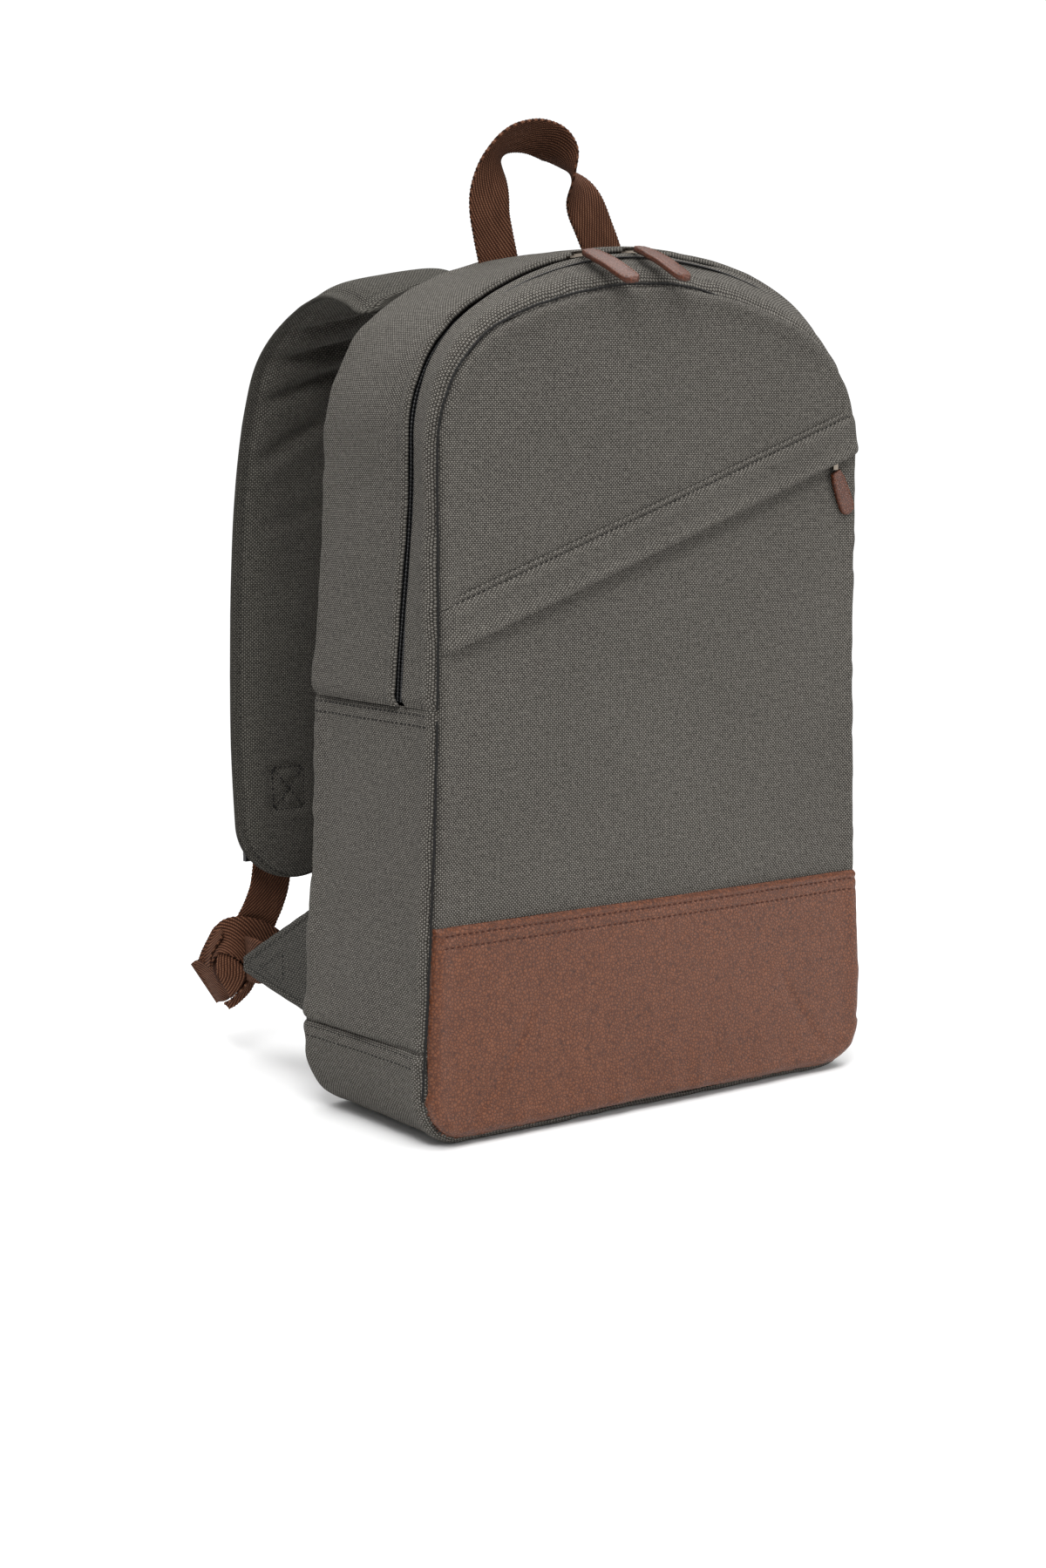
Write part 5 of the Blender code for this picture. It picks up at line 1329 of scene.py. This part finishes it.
# ------------------------------------------------------------------ shoulder straps
STRAP_PATH = [(BACK_Y + 0.5, 419.0, 74.0, 19.0), (72.0, 425.0, 75.0, 14.0), (92.0, 425.0, 77.0, 9.0), (118.0, 413.0, 81.0, 6.0), (139.0, 391.0, 86.0, 4.0), (148.5, 358.0, 90.0, 2.0),
              (152.0, 315.0, 94.0, 0.0), (152.0, 270.0, 97.0, 0.0), (150.0, 225.0, 99.5, 0.0), (148.0, 185.0, 101.0, 0.0), (146.0, 150.0, 101.0, 0.0), (142.8, 104.5, 100.0, 0.0)]
sp = catmull([(p[0], p[1], p[2]) for p in STRAP_PATH], 600)
sr = catmull([(p[3], 0, 0) for p in STRAP_PATH], 600)[:, 0]
sl = np.concatenate([[0], np.cumsum(np.linalg.norm(np.diff(sp, axis=0), axis=1))])
L_STRAP = sl[-1]
NS = 150
ss = np.concatenate([np.linspace(0, L_STRAP - 34, NS - 26), L_STRAP - 34 * (1 - np.linspace(0, 1, 27)[1:]) ** 1.5])
ss[-1] = L_STRAP - 0.02
CY, CZ, CX = (np.interp(ss, sl, sp[:, k]) for k in (0, 1, 2))
ROLL = np.radians(np.interp(ss, sl, sr))
C = np.stack([CX, CY, CZ], 1)                       # right-hand strap; the left one is its mirror
T = np.stack([CX * 0, CY, CZ], 1)
T = np.gradient(T, axis=0)
T /= np.linalg.norm(T, axis=1, keepdims=True)
Wd = np.stack([np.cos(ROLL), ROLL * 0, -np.sin(ROLL)], 1)
Wd -= T * np.sum(Wd * T, axis=1, keepdims=True)
Wd /= np.linalg.norm(Wd, axis=1, keepdims=True)
NN = np.cross(Wd, T)                                # points away from the back of the pack, on the outer face
assert NN[80, 1] > 0.9
HW, END = 37.3, 32.0
left_s = L_STRAP - ss
share = np.where(left_s < END, np.sqrt(np.maximum(1 - ((END - left_s) / END) ** 2, 0.0)), 1.0)
hw = np.maximum(HW * share, 0.6)
k_half = np.concatenate([[0, .05, .11, .17, .235, .30, .38, .47, .57, .68, .80, .90, 1.0]])   # share of the half width, from the edge inwards
us = np.concatenate([1 - k_half, -(1 - k_half[:-1][::-1])])                       # 1 .. 0 .. -1


def strap_height(u):
    """Half thickness at width share u, for each station, with a flat sewn border."""
    d_side = hw * (1 - abs(u))
    d_end = np.where(left_s < END, HW - np.sqrt((u * hw) ** 2 + (END - left_s) ** 2), 1e3)
    a = np.maximum(np.minimum(d_side, d_end), 0.0)
    body_ = 5.0 * (1 - np.exp(-np.maximum(a - 6.2, 0) / 5.5))
    return 0.35 + 1.15 * (1 - np.exp(-a / 0.7)) - 0.55 * np.exp(-((a - 6.2) / 0.9) ** 2) + body_, a


rings, uvs, dist = [], [], []
for side_v, seq in ((1, us), (-1, us[::-1])):
    for u in seq:
        if side_v < 0 and abs(abs(u) - 1) < 1e-6:
            continue
        h, a = strap_height(u)
        if abs(abs(u) - 1) < 1e-6:
            h = h * 0
        rings.append(C + Wd * (u * hw)[:, None] + NN * (side_v * h)[:, None])
        uvs.append(np.stack([u * hw + (0 if side_v > 0 else 90), ss], -1))
        dist.append(a)
R = np.stack(rings, 1)
UVs = np.stack(uvs, 1) * MM
A_ = np.stack(dist, 1)
faceN = np.stack([NN if i < len(us) else -NN for i in range(R.shape[1])], 1)
inner = np.array([i >= len(us) for i in range(R.shape[1])])
UU = np.stack([np.full(NS, u) for u in us] + [np.full(NS, u) for u in us[::-1] if abs(abs(u) - 1) > 1e-6], 1)
SS = np.repeat(ss[:, None], R.shape[1], 1)
SOFT_ = 1 - np.exp(-np.maximum(A_ - 5.5, 0) / 4.0)


def fold(s0, u0, ang, ln, wid, depth):
    """A crease: a valley with soft shoulders along a line on the face."""
    a_ = math.radians(ang)
    x_, y_ = (UU * HW - u0), (SS - s0)
    along, acr = x_ * math.cos(a_) + y_ * math.sin(a_), -x_ * math.sin(a_) + y_ * math.cos(a_)
    return depth * (-np.exp(-(acr / wid) ** 2) + 0.55 * np.exp(-((acr - 2.1 * wid) / (1.5 * wid)) ** 2) + 0.55 * np.exp(-((acr + 2.1 * wid) / (1.5 * wid)) ** 2)) * np.exp(-(along / ln) ** 4)


def build_strap():
    ob = tube_solid("strap_sim", R, UVs, [CANVAS_BACK])
    n_v = R.shape[0] * R.shape[1]
    pin = list(np.nonzero((A_.reshape(-1) < 7.0) | (SS.reshape(-1) < 6.0))[0]) + [n_v, n_v + 1]
    g = np.zeros(n_v + 2)
    bendz = np.exp(-((SS - 88.0) / 52.0) ** 2)
    g[:n_v] = (np.where(inner[None, :], 1.0, 0.25) * (0.35 + 0.65 * bendz) * SOFT_).reshape(-1)
    new = cloth_inflate(ob, pin, 20, 2.2, 3.2, g, 18.0, 0.35)
    bpy.data.objects.remove(ob)
    G = new[:n_v].reshape(R.shape) / MM
    # creases where the pad turns over the top, on the inner face, and softer ones on the outer face
    cr = (fold(62, 6, 28, 30, 3.6, 3.2) + fold(86, -2, 20, 33, 4.2, 4.2) + fold(112, 4, 26, 32, 4.0, 3.6) + fold(143, 6, 33, 28, 4.2, 2.6) + fold(186, 0, 18, 24, 4.0, 0.9) + fold(250, 4, -20, 22, 4.5, 0.6))
    cr_out = fold(70, 4, 12, 30, 4.0, 0.8) + fold(120, -5, -14, 26, 4.5, 0.6) + fold(330, 0, 8, 26, 5.0, 0.5)
    bx_, bz_ = G[..., 0], G[..., 2]
    dist_ = np.full(bx_.shape, 1e3)
    for (ax, az), (ex, ez) in (((96.5, 144.5), (116.0, 144.5)), ((116.0, 144.5), (116.0, 168.0)), ((116.0, 168.0), (96.5, 168.0)), ((96.5, 168.0), (96.5, 144.5)), ((96.5, 144.5), (116.0, 168.0)), ((116.0, 144.5), (96.5, 168.0))):
        t_ = np.clip(((bx_ - ax) * (ex - ax) + (bz_ - az) * (ez - az)) / ((ex - ax) ** 2 + (ez - az) ** 2), 0, 1)
        dist_ = np.minimum(dist_, np.hypot(bx_ - ax - t_ * (ex - ax), bz_ - az - t_ * (ez - az)))
    cr = cr - 1.7 * np.exp(-(dist_ / 1.5) ** 2) + 0.7 * np.exp(-((dist_ - 4.0) / 2.0) ** 2)
    wob = 0.35 * fbm(np.stack([UU * HW, SS, SS * 0 + inner[None, :] * 90.0], -1), 30.0, 2, 121) + 0.15 * fbm(np.stack([UU * HW, SS, SS * 0 + 7], -1), 11.0, 2, 125)
    add = np.where(inner[None, :], cr, cr_out) * SOFT_ + wob * SOFT_
    edge_w = 0.30 * noise3(np.stack([UU * 60, SS, SS * 0], -1), 8.0, 127) * np.exp(-((A_ - 3.0) / 2.5) ** 2)
    G = G + faceN * (add + edge_w)[..., None]
    G[..., 2] += 3.2 * np.exp(-(SS / 60.0) ** 2)
    G[0, :, 1] = np.maximum(BACK_Y - 1.5, 0)
    return G


STRAP_GRID = build_strap()
for sx, side in ((-1, "left"), (1, "right")):
    G = STRAP_GRID * np.array([sx, 1, 1])
    ob = tube_solid(f"strap_{side}_cloth", G, UVs, [CANVAS_BACK])
    sub = ob.modifiers.new("Subdivision", "SUBSURF")
    sub.levels = sub.render_levels = 1
    finish_piece(ob, None, (f"strap_cover_{side}", f"strap_foam_{side}"), ("bag", f"strap_{side}", (0, 0.0545, 0.43), (0, 0.068, 0.43)))
    # border stitching on both faces
    for face_i, nsign in (((0, len(us)), 1), ((len(us), R.shape[1]), -1)):
        for want in (1, -1):
            row, nr = [], []
            for i in range(3, NS - 1):
                cols = [j for j in range(*face_i) if np.sign(UU[i, j]) == want or UU[i, j] == 0]
                if not cols:
                    continue
                aa = A_[i, cols]
                if aa.max() < 6.2:
                    continue
                o_ = np.argsort(aa)
                g_ = G[i, cols][o_]
                row.append([np.interp(6.2, aa[o_], g_[:, k_]) for k_ in range(3)])
                n_ = NN[i] * nsign * np.array([sx, 1, 1])
                nr.append(n_)
            stitch_run(f"stitch_strap_{side}", row, nr, THREAD, length=2.5, gap=1.0, width=0.6, lift=0.1, body=f"strap_{side}")

    # outer face: y of the strap at a height
    oj = int(np.argmin(np.abs(UU[60, :len(us)] - 0.3)))

    def face_y(z, off=0.0, grid=G, j=oj):
        col = grid[20:NS - 2, j]
        o_ = np.argsort(col[:, 2])
        return float(np.interp(z, col[o_, 2], col[o_, 1])) + off

    ij = R.shape[1] - 1 - (len(us) - 2) // 2

    def inner_y(x, z, grid=G):
        cols = grid[20:NS - 2, len(us):].reshape(-1, 3)
        d_ = np.hypot(cols[:, 0] - x, cols[:, 2] - z)
        return cols[d_.argmin(), 1]

    xc = sx * 109.0
    lo, hi = nbox(f"ladder_lock_{side}")
    lock_y = (lo[1] + hi[1]) / 2
    f0 = lo[1] - 3.1
    # keeper webbing sewn to the strap and passed through the lock's top bar
    pts = [(face_y(182.0, 0.9), 182.0), (face_y(162.0, 0.9), 162.0), (face_y(146.0, 1.4), 146.0), (f0 + 1.9, 137.2), (f0 + 2.6, 134.6), (f0 + 4.6, 133.6), (f0 + 6.6, 134.6), (f0 + 7.5, 137.2), (face_y(149.0, 7.0), 149.0), (face_y(160.0, 4.4), 160.0), (face_y(168.0, 2.6), 168.0)]
    Cw = catmull([(xc, y_, z_) for y_, z_ in pts], 130)
    ob = ribbon(f"lock_keeper_webbing_{side}", Cw, np.tile([1.0, 0, 0], (130, 1)), 12.7, 1.4, [WEBBING], scallop=0.2, seed=9)
    finish_piece(ob, f"strap_{side}", (f"lock_keeper_{side}",))
    # adjuster webbing: up behind the lock, over its lower bar, and down to the knot
    pts = [(xc, f0 + 7.7, 132.0), (xc, f0 + 7.6, 126.0), (xc, f0 + 6.8, 123.2), (xc, f0 + 4.6, 121.4), (xc, f0 + 2.4, 119.2), (xc, f0 + 1.6, 114.0), (sx * 110.8, f0 + 2.6, 99.0), (sx * 113.4, f0 + 5.2, 87.5),
           (sx * 116.2, f0 + 8.0, 79.0), (sx * 118.5, f0 + 10.5, 71.0), (sx * 121.0, f0 + 12.0, 62.0)]
    Cw = catmull(pts, 160)
    zz = Cw[:, 2]
    tw = np.clip((100.0 - zz) / 40.0, 0, 1)
    Wd2 = np.stack([np.cos(tw * 0.35), -sx * np.sin(tw * 0.35) * -1.0, -sx * 0.22 * tw], 1)
    Wd2[:, 1] = sx * 0.30 * tw
    ob = ribbon(f"adjuster_strip_{side}", Cw, Wd2, 12.7, 1.4, [WEBBING], scallop=0.25, seed=10, wave=0.3)
    finish_piece(ob, None, (f"adjuster_webbing_{side}",), ("bag", f"strap_{side}", (0, 0.16, 0.066), (0, 0.16, 0.104)))
    # box with a cross, sewn through the strap where the keeper ends; it shows on the inner face
    bx = [(sx * 96.5, 144.5), (sx * 116.0, 144.5), (sx * 116.0, 168.0), (sx * 96.5, 168.0)]
    for a, b in ((0, 1), (1, 2), (2, 3), (3, 0), (0, 2), (1, 3)):
        L = np.linspace(bx[a], bx[b], 12)
        L3 = np.array([[x_, inner_y(x_, z_) - 0.15, z_] for x_, z_ in L])
        stitch_run(f"stitch_strap_{side}", L3, np.tile([0, -1.0, 0], (12, 1)), THREAD, length=2.2, gap=0.9, width=0.9, lift=0.35, body=f"strap_{side}")

# ------------------------------------------------------------------ back panel: padded, with stitched channels
def back_outline():
    P_, _, _ = arch(GUSSET_HALF - 0.4, TRACK_TOP - 0.4, TRACK_R - 0.4, CORNER_R - 0.4, 60.0, 12.0, step=2.0)
    w_ = side_x(np.array([Z_BOT]))[0] - 1.2
    a = np.linspace(math.pi / 2, 0, 20)
    r_ = 36.0
    rc = np.stack([w_ - r_ + r_ * np.sin(a), r_ - r_ * np.cos(a)], 1)
    return P_, rc


P_, rc = back_outline()
iL = int(np.argmin(np.hypot(P_[:, 0] + 118, P_[:, 1] - 400) + (P_[:, 0] > 0) * 1e3))
iR = len(P_) - 1 - iL
j45 = 10
lc = rc * [-1, 1]
left = np.vstack([lc[:j45 + 1][::-1], P_[:iL + 1]])
right = np.vstack([rc[:j45 + 1][::-1], P_[iR:][::-1]])
topc = P_[iL:iR + 1]
bot = np.vstack([lc[j45:], rc[j45:][::-1]])
S = coons(bot, topc, left, right, 130, 160, 0.45)
e, near = edge_distance(S, [left, right, topc, bot])
x, z = S[..., 0], S[..., 1]


def channel(d, wdt=1.1, deep=2.2, soft=7.0):
    return -deep * np.exp(-(d / wdt) ** 2) - 0.55 * deep * np.exp(-np.abs(d) / soft)


inset = e - 16.0
pad = 3.6 * (1 - np.exp(-np.clip(inset, 0, None) / 7.0))
ch = channel(inset, 1.1, 1.4, 3.0)
mask = 1 / (1 + np.exp(-(e - 17.0) / 1.2))
for zc in (118.0, 226.0, 334.0):
    ch = ch + channel(z - zc - 4.0 * np.cos(x / 60.0), 1.1, 1.9, 6.0) * mask
# the straps' roots press the pad flat
root = np.exp(-((np.abs(x) - 74.0) / 46.0) ** 4 - ((z - 424.0) / 26.0) ** 4)
prof = seam_profile(e, near, 141, dip=2.4, lam=2.6, puff=0.8, pucker=0.5)
h = prof + (pad + ch) * (1 - 0.95 * root) + 0.5 * fbm(np.stack([x, z, x * 0 + 140], -1), 46.0, 2, 143) + 0.15 * fbm(np.stack([x, z, x * 0 + 144], -1), 14.0, 2, 145)
h = h * (1 - 0.9 * root) - 0.6 * root
P = np.stack([x, BACK_Y - 0.6 + h, z], -1)
P[..., 2] = np.maximum(P[..., 2], 0.4)
# let the cushioned zones fill out between the channels
tmp = grid_solid("back_sim", P, S * MM, 6.0, [CANVAS], outward=(0, 1, 0))
hw_n = P.shape[0] * P.shape[1]
low_line = np.minimum(np.abs(inset), np.minimum.reduce([np.abs(z - zc - 4.0 * np.cos(x / 60.0)) for zc in (118.0, 226.0, 334.0)]))
pinm = ((e < 17.0) | (low_line < 2.2) | (root > 0.2)).reshape(-1)
pin = list(np.nonzero(pinm)[0]) + list(range(hw_n, 2 * hw_n))
new = cloth_inflate(tmp, pin, 16, 2.5, 2.4, None, 25.0, 1.0)
bpy.data.objects.remove(tmp)
P = new[:hw_n].reshape(P.shape) / MM
back = grid_solid("back_cloth", P, S * MM, 2.2, [CANVAS, LINING], outward=(0, 1, 0))
finish_piece(back, "bag", ("back_panel", "back_foam"))
for d0_, edge_row in ((None, None),):
    for zc in (118.0, 226.0, 334.0):
        xs_ = np.linspace(-118, 118, 120)
        row = []
        for x_ in xs_:
            zz_ = zc + 4.0 * math.cos(x_ / 60.0)
            d_ = np.hypot(P[..., 0] - x_, P[..., 2] - zz_)
            i_, j_ = np.unravel_index(d_.argmin(), d_.shape)
            row.append([x_, P[i_, j_, 1], zz_])
        stitch_run("stitch_back", row, np.tile([0, 1.0, 0], (len(row), 1)), THREAD, length=2.6, gap=1.0, width=0.65, lift=0.1)

# ------------------------------------------------------------------ inside
def flat_cloth(name, x0, x1, z0, z1, y, thick, mats, body, nodes, seed, bulge=0.0, amp=0.4, nx_=60, nz_=80, outward=(0, -1, 0)):
    xg, zg = np.meshgrid(np.linspace(x0, x1, nx_), np.linspace(z0, z1, nz_))
    fx, fz = (xg - x0) / (x1 - x0), (zg - z0) / (z1 - z0)
    yy_ = y - bulge * np.sin(math.pi * fx) * np.sin(math.pi * np.clip(fz * 0.8, 0, 1)) + amp * fbm(np.stack([xg, zg, xg * 0 + seed], -1), 45.0, 2, seed)
    Pn = np.stack([xg, yy_, zg], -1)
    ob_ = grid_solid(name, Pn, np.stack([xg, zg], -1) * MM, thick, mats, outward=outward)
    return finish_piece(ob_, body, nodes), Pn


def box_cloth(node, name, mats, body, seed, pad_=0.0):
    lo_, hi_ = nbox(node)
    mid_, size_ = (lo_ + hi_) / 2, hi_ - lo_
    t_ = int(np.argmin(size_))
    a_, b_ = [k_ for k_ in range(3) if k_ != t_]
    n1_, n2_ = (max(4, int(size_[k_] / 3)) for k_ in (a_, b_))
    g1, g2 = np.meshgrid(np.linspace(lo_[a_], hi_[a_], min(n1_, 90)), np.linspace(lo_[b_], hi_[b_], min(n2_, 120)), indexing="ij")
    e_ = np.minimum(np.minimum(g1 - lo_[a_], hi_[a_] - g1), np.minimum(g2 - lo_[b_], hi_[b_] - g2))
    h_ = size_[t_] / 2 * (0.45 + 0.55 * (1 - np.exp(-e_ / 1.2))) + 0.08 * fbm(np.stack([g1, g2, g1 * 0 + seed], -1), 14.0, 2, seed)
    Pn, Qn = np.zeros(g1.shape + (3,)), np.zeros(g1.shape + (3,))
    for G_, sg in ((Pn, 1), (Qn, -1)):
        G_[..., a_], G_[..., b_], G_[..., t_] = g1, g2, mid_[t_] + sg * h_
    out_ = [0, 0, 0]
    out_[t_] = 1
    ob_ = grid_solid(name, Pn, np.stack([g1, g2], -1) * MM, 1.0, mats, outward=out_, inner_grid=Qn)
    return finish_piece(ob_, body, (node,))


lo, hi = nbox("laptop_sleeve")
sleeve_ob, SG = flat_cloth("laptop_sleeve_cloth", lo[0], hi[0], lo[2], hi[2] - 2.0, lo[1] + 0.4, 1.6, [LINING, LINING], "bag", ("laptop_sleeve",), 201, bulge=0.0, amp=0.35)
C = np.stack([SG[-1, :, 0], SG[-1, :, 1] + 0.8, SG[-1, :, 2] - 5.0], 1)
ob = ribbon("laptop_sleeve_binding", C, np.tile([0, 0, 1.0], (len(C), 1)), 6.5, 2.3, [WEBBING_GREY], scallop=0.0, seed=20, across=7)
finish_piece(ob, "bag")
for nd in ("sleeve_bottom_hem", "sleeve_side_left", "sleeve_side_right"):
    box_cloth(nd, nd + "_cloth", [LINING, LINING], "bag", 210)
box_cloth("hook_patch", "hook_patch_pile", [VELCRO, VELCRO], "bag", 215)
lo, hi = nbox("back_lining")
S2 = coons(bot * [0.965, 1] + [0, 4.5], topc * [0.965, 1] - [0, 4.5], left * [0.965, 1] + [0, 0.5], right * [0.965, 1] + [0, 0.5], 70, 90, 0.2)
P = np.stack([S2[..., 0], hi[1] - 0.5 + 0.3 * fbm(np.stack([S2[..., 0], S2[..., 1], S2[..., 0] * 0 + 220], -1), 40.0, 2, 220), S2[..., 1]], -1)
P[..., 2] = np.clip(P[..., 2], lo[2], hi[2])
ob = grid_solid("back_lining_cloth", P, S2 * MM, 0.8, [LINING, LINING], outward=(0, -1, 0))
finish_piece(ob, "bag", ("back_lining",))
# pocket lining behind the front cloth
lo, hi = nbox("pocket_lining")
PA, _, _ = arch(FRONT_HALF - 5.0, FRONT_TOP - 6.0, FRONT_R, FRONT_CORNER, Z_FOLD + 3.0, step=2.0)
ia = int(np.argmin(np.hypot(PA[:, 0] + 110, PA[:, 1] - 395) + (PA[:, 0] > 0) * 1e3))
ib = len(PA) - 1 - ia
S2 = coons(np.array([PA[0], PA[-1]]), PA[ia:ib + 1], PA[:ia + 1], PA[ib:][::-1], 70, 60, 0.2)
P = np.stack([S2[..., 0], (lo[1] + hi[1]) / 2 + 0.3 + 0.5 * fbm(np.stack([S2[..., 0], S2[..., 1], S2[..., 0] * 0 + 230], -1), 38.0, 2, 230), S2[..., 1]], -1)
ob = grid_solid("pocket_lining_cloth", P, S2 * MM, 0.7, [LINING, LINING], outward=(0, -1, 0))
finish_piece(ob, "front_flap", ("pocket_lining",))
# the tab that holds the laptop in: sewn to the back, over the sleeve's top and down its front
lo, hi = nbox("sleeve_tab")
C = catmull([(0, hi[1], hi[2] - 1.0), (0, hi[1] - 8, hi[2] - 0.9), (0, lo[1] + 6, hi[2] - 1.0), (0, lo[1] + 2.0, hi[2] - 1.9), (0, lo[1] + 0.85, hi[2] - 4.5), (0, lo[1] + 0.8, hi[2] - 16), (0, lo[1] + 0.8, lo[2] + 2.0), (0, lo[1] + 0.8, lo[2])], 90)
ob = ribbon("sleeve_tab_webbing", C, np.tile([1.0, 0, 0], (90, 1)), 12.4, 1.5, [WEBBING], scallop=0.2, seed=21)
finish_piece(ob, "tab", ("sleeve_tab",))

# ------------------------------------------------------------------ camera, light, floor
cam_data = bpy.data.cameras.new("camera")
cam = bpy.data.objects.new("camera", cam_data)
bpy.context.scene.collection.objects.link(cam)
cam_data.sensor_width = 36.0
cam_data.lens = 2838.36 * 36 / 1799
loc, target = Vector((-0.80862, -1.03609, 0.35481)), Vector((-0.0467, 0, 0.16925))
cam.location = loc
cam.rotation_euler = (target - loc).to_track_quat("-Z", "Y").to_euler()
bpy.context.scene.camera = cam

world = bpy.data.worlds.new("studio")
bpy.context.scene.world = world
world.use_nodes = True
wn = world.node_tree
bg = wn.nodes["Background"]
bg.inputs[0].default_value = (1, 1, 1, 1)
bg.inputs[1].default_value = 0.40
bg2 = wn.nodes.new("ShaderNodeBackground")
bg2.inputs[0].default_value = (1, 1, 1, 1)
bg2.inputs[1].default_value = 1.05
lp = wn.nodes.new("ShaderNodeLightPath")
mx = wn.nodes.new("ShaderNodeMixShader")
wn.links.new(lp.outputs["Is Camera Ray"], mx.inputs[0])
wn.links.new(bg.outputs[0], mx.inputs[1])
wn.links.new(bg2.outputs[0], mx.inputs[2])
wn.links.new(mx.outputs[0], wn.nodes["World Output"].inputs["Surface"])


def area(name, loc, target, size, power):
    d = bpy.data.lights.new(name, "AREA")
    d.shape = "RECTANGLE"
    d.size, d.size_y = size
    d.energy = power
    o = bpy.data.objects.new(name, d)
    o.location = loc
    o.rotation_euler = (Vector(target) - Vector(loc)).to_track_quat("-Z", "Y").to_euler()
    bpy.context.scene.collection.objects.link(o)


area("top", (0, 0, 2.3), (0, 0, 0), (3.2, 3.2), 88)
area("key", (-1.05, -1.15, 1.75), (0, 0, 0.34), (0.9, 0.7), 25)
area("fill", (0.85, -1.0, 0.42), (0.1, -0.05, 0.12), (0.6, 0.6), 5.5)

floor_mesh = bpy.data.meshes.new("floor")
floor_mesh.from_pydata([(-0.75, -0.75, 0), (0.75, -0.75, 0), (0.75, 0.75, 0), (-0.75, 0.75, 0)], [], [(0, 1, 2, 3)])
floor = bpy.data.objects.new("floor", floor_mesh)
bpy.context.scene.collection.objects.link(floor)
fm, fnt, fb = new_material("floor_white", 0.9, 0.0, 0.1)
ft = NT(fnt)
fb.inputs["Base Color"].default_value = (0.9, 0.9, 0.9, 1)
floor_mesh.materials.append(fm)
floor.location.z = -0.0004
bpy.context.scene.view_settings.view_transform = "Standard"

# ------------------------------------------------------------------ riding
hinge = [j for j in frame["joints"] if j["name"] == "front_flap_open"][0]["pos_m"]
finish_piece(lower_cloth, None, ("front_lower_panel", "front_pocket_panel"), ("bag", "front_flap", (0, hinge[1], hinge[2] - 0.014), (0, hinge[1], hinge[2] + 0.016)))
finish_piece(upper_cloth, "front_flap", ("front_upper_panel",))
finish_piece(placket, "front_flap", ("pocket_placket", "placket_seam"))
finish_piece(leather_base, "bag", ("leather_base_panel",))
finish_piece(handle, None, ("grab_handle",), ("bag", "handle", (0, HY * MM, (HZ - 3.0) * MM), (0, HY * MM, (HZ + 7.0) * MM)))
finish_piece(front_gusset, None, ("front_gusset",), ("bag", "front_flap", (0, hinge[1], hinge[2] + 0.001), (0, hinge[1], hinge[2] + 0.026)))

for key, d, ob in flush_stitches():
    finish_piece(ob, d["body"])

for nd in ("slider_left", "slider_right", "pocket_slider", "ladder_lock_left", "ladder_lock_right"):
    bv = frame["nodes"][nd].modifiers.new("edges", "BEVEL")
    bv.width = 0.0003 if "lock" not in nd else 0.0007
    bv.segments = 3
    bv.limit_method = "ANGLE"

MAT = {"lining": LINING, "foam": FOAMY, "zip_tape": TAPE, "zip_coil": COIL, "metal": BRASS, "buckle": PLASTIC, "hook_loop": VELCRO, "canvas": CANVAS, "faux_leather": LEATHER, "webbing": WEBBING}
slots = {s["node"]: s["material_slot"] for s in frame["record"]["subparts"]}
for name, ob in frame["nodes"].items():
    m = MAT[slots[name]]
    if ob.data.materials:
        ob.data.materials[0] = m
    else:
        ob.data.materials.append(m)
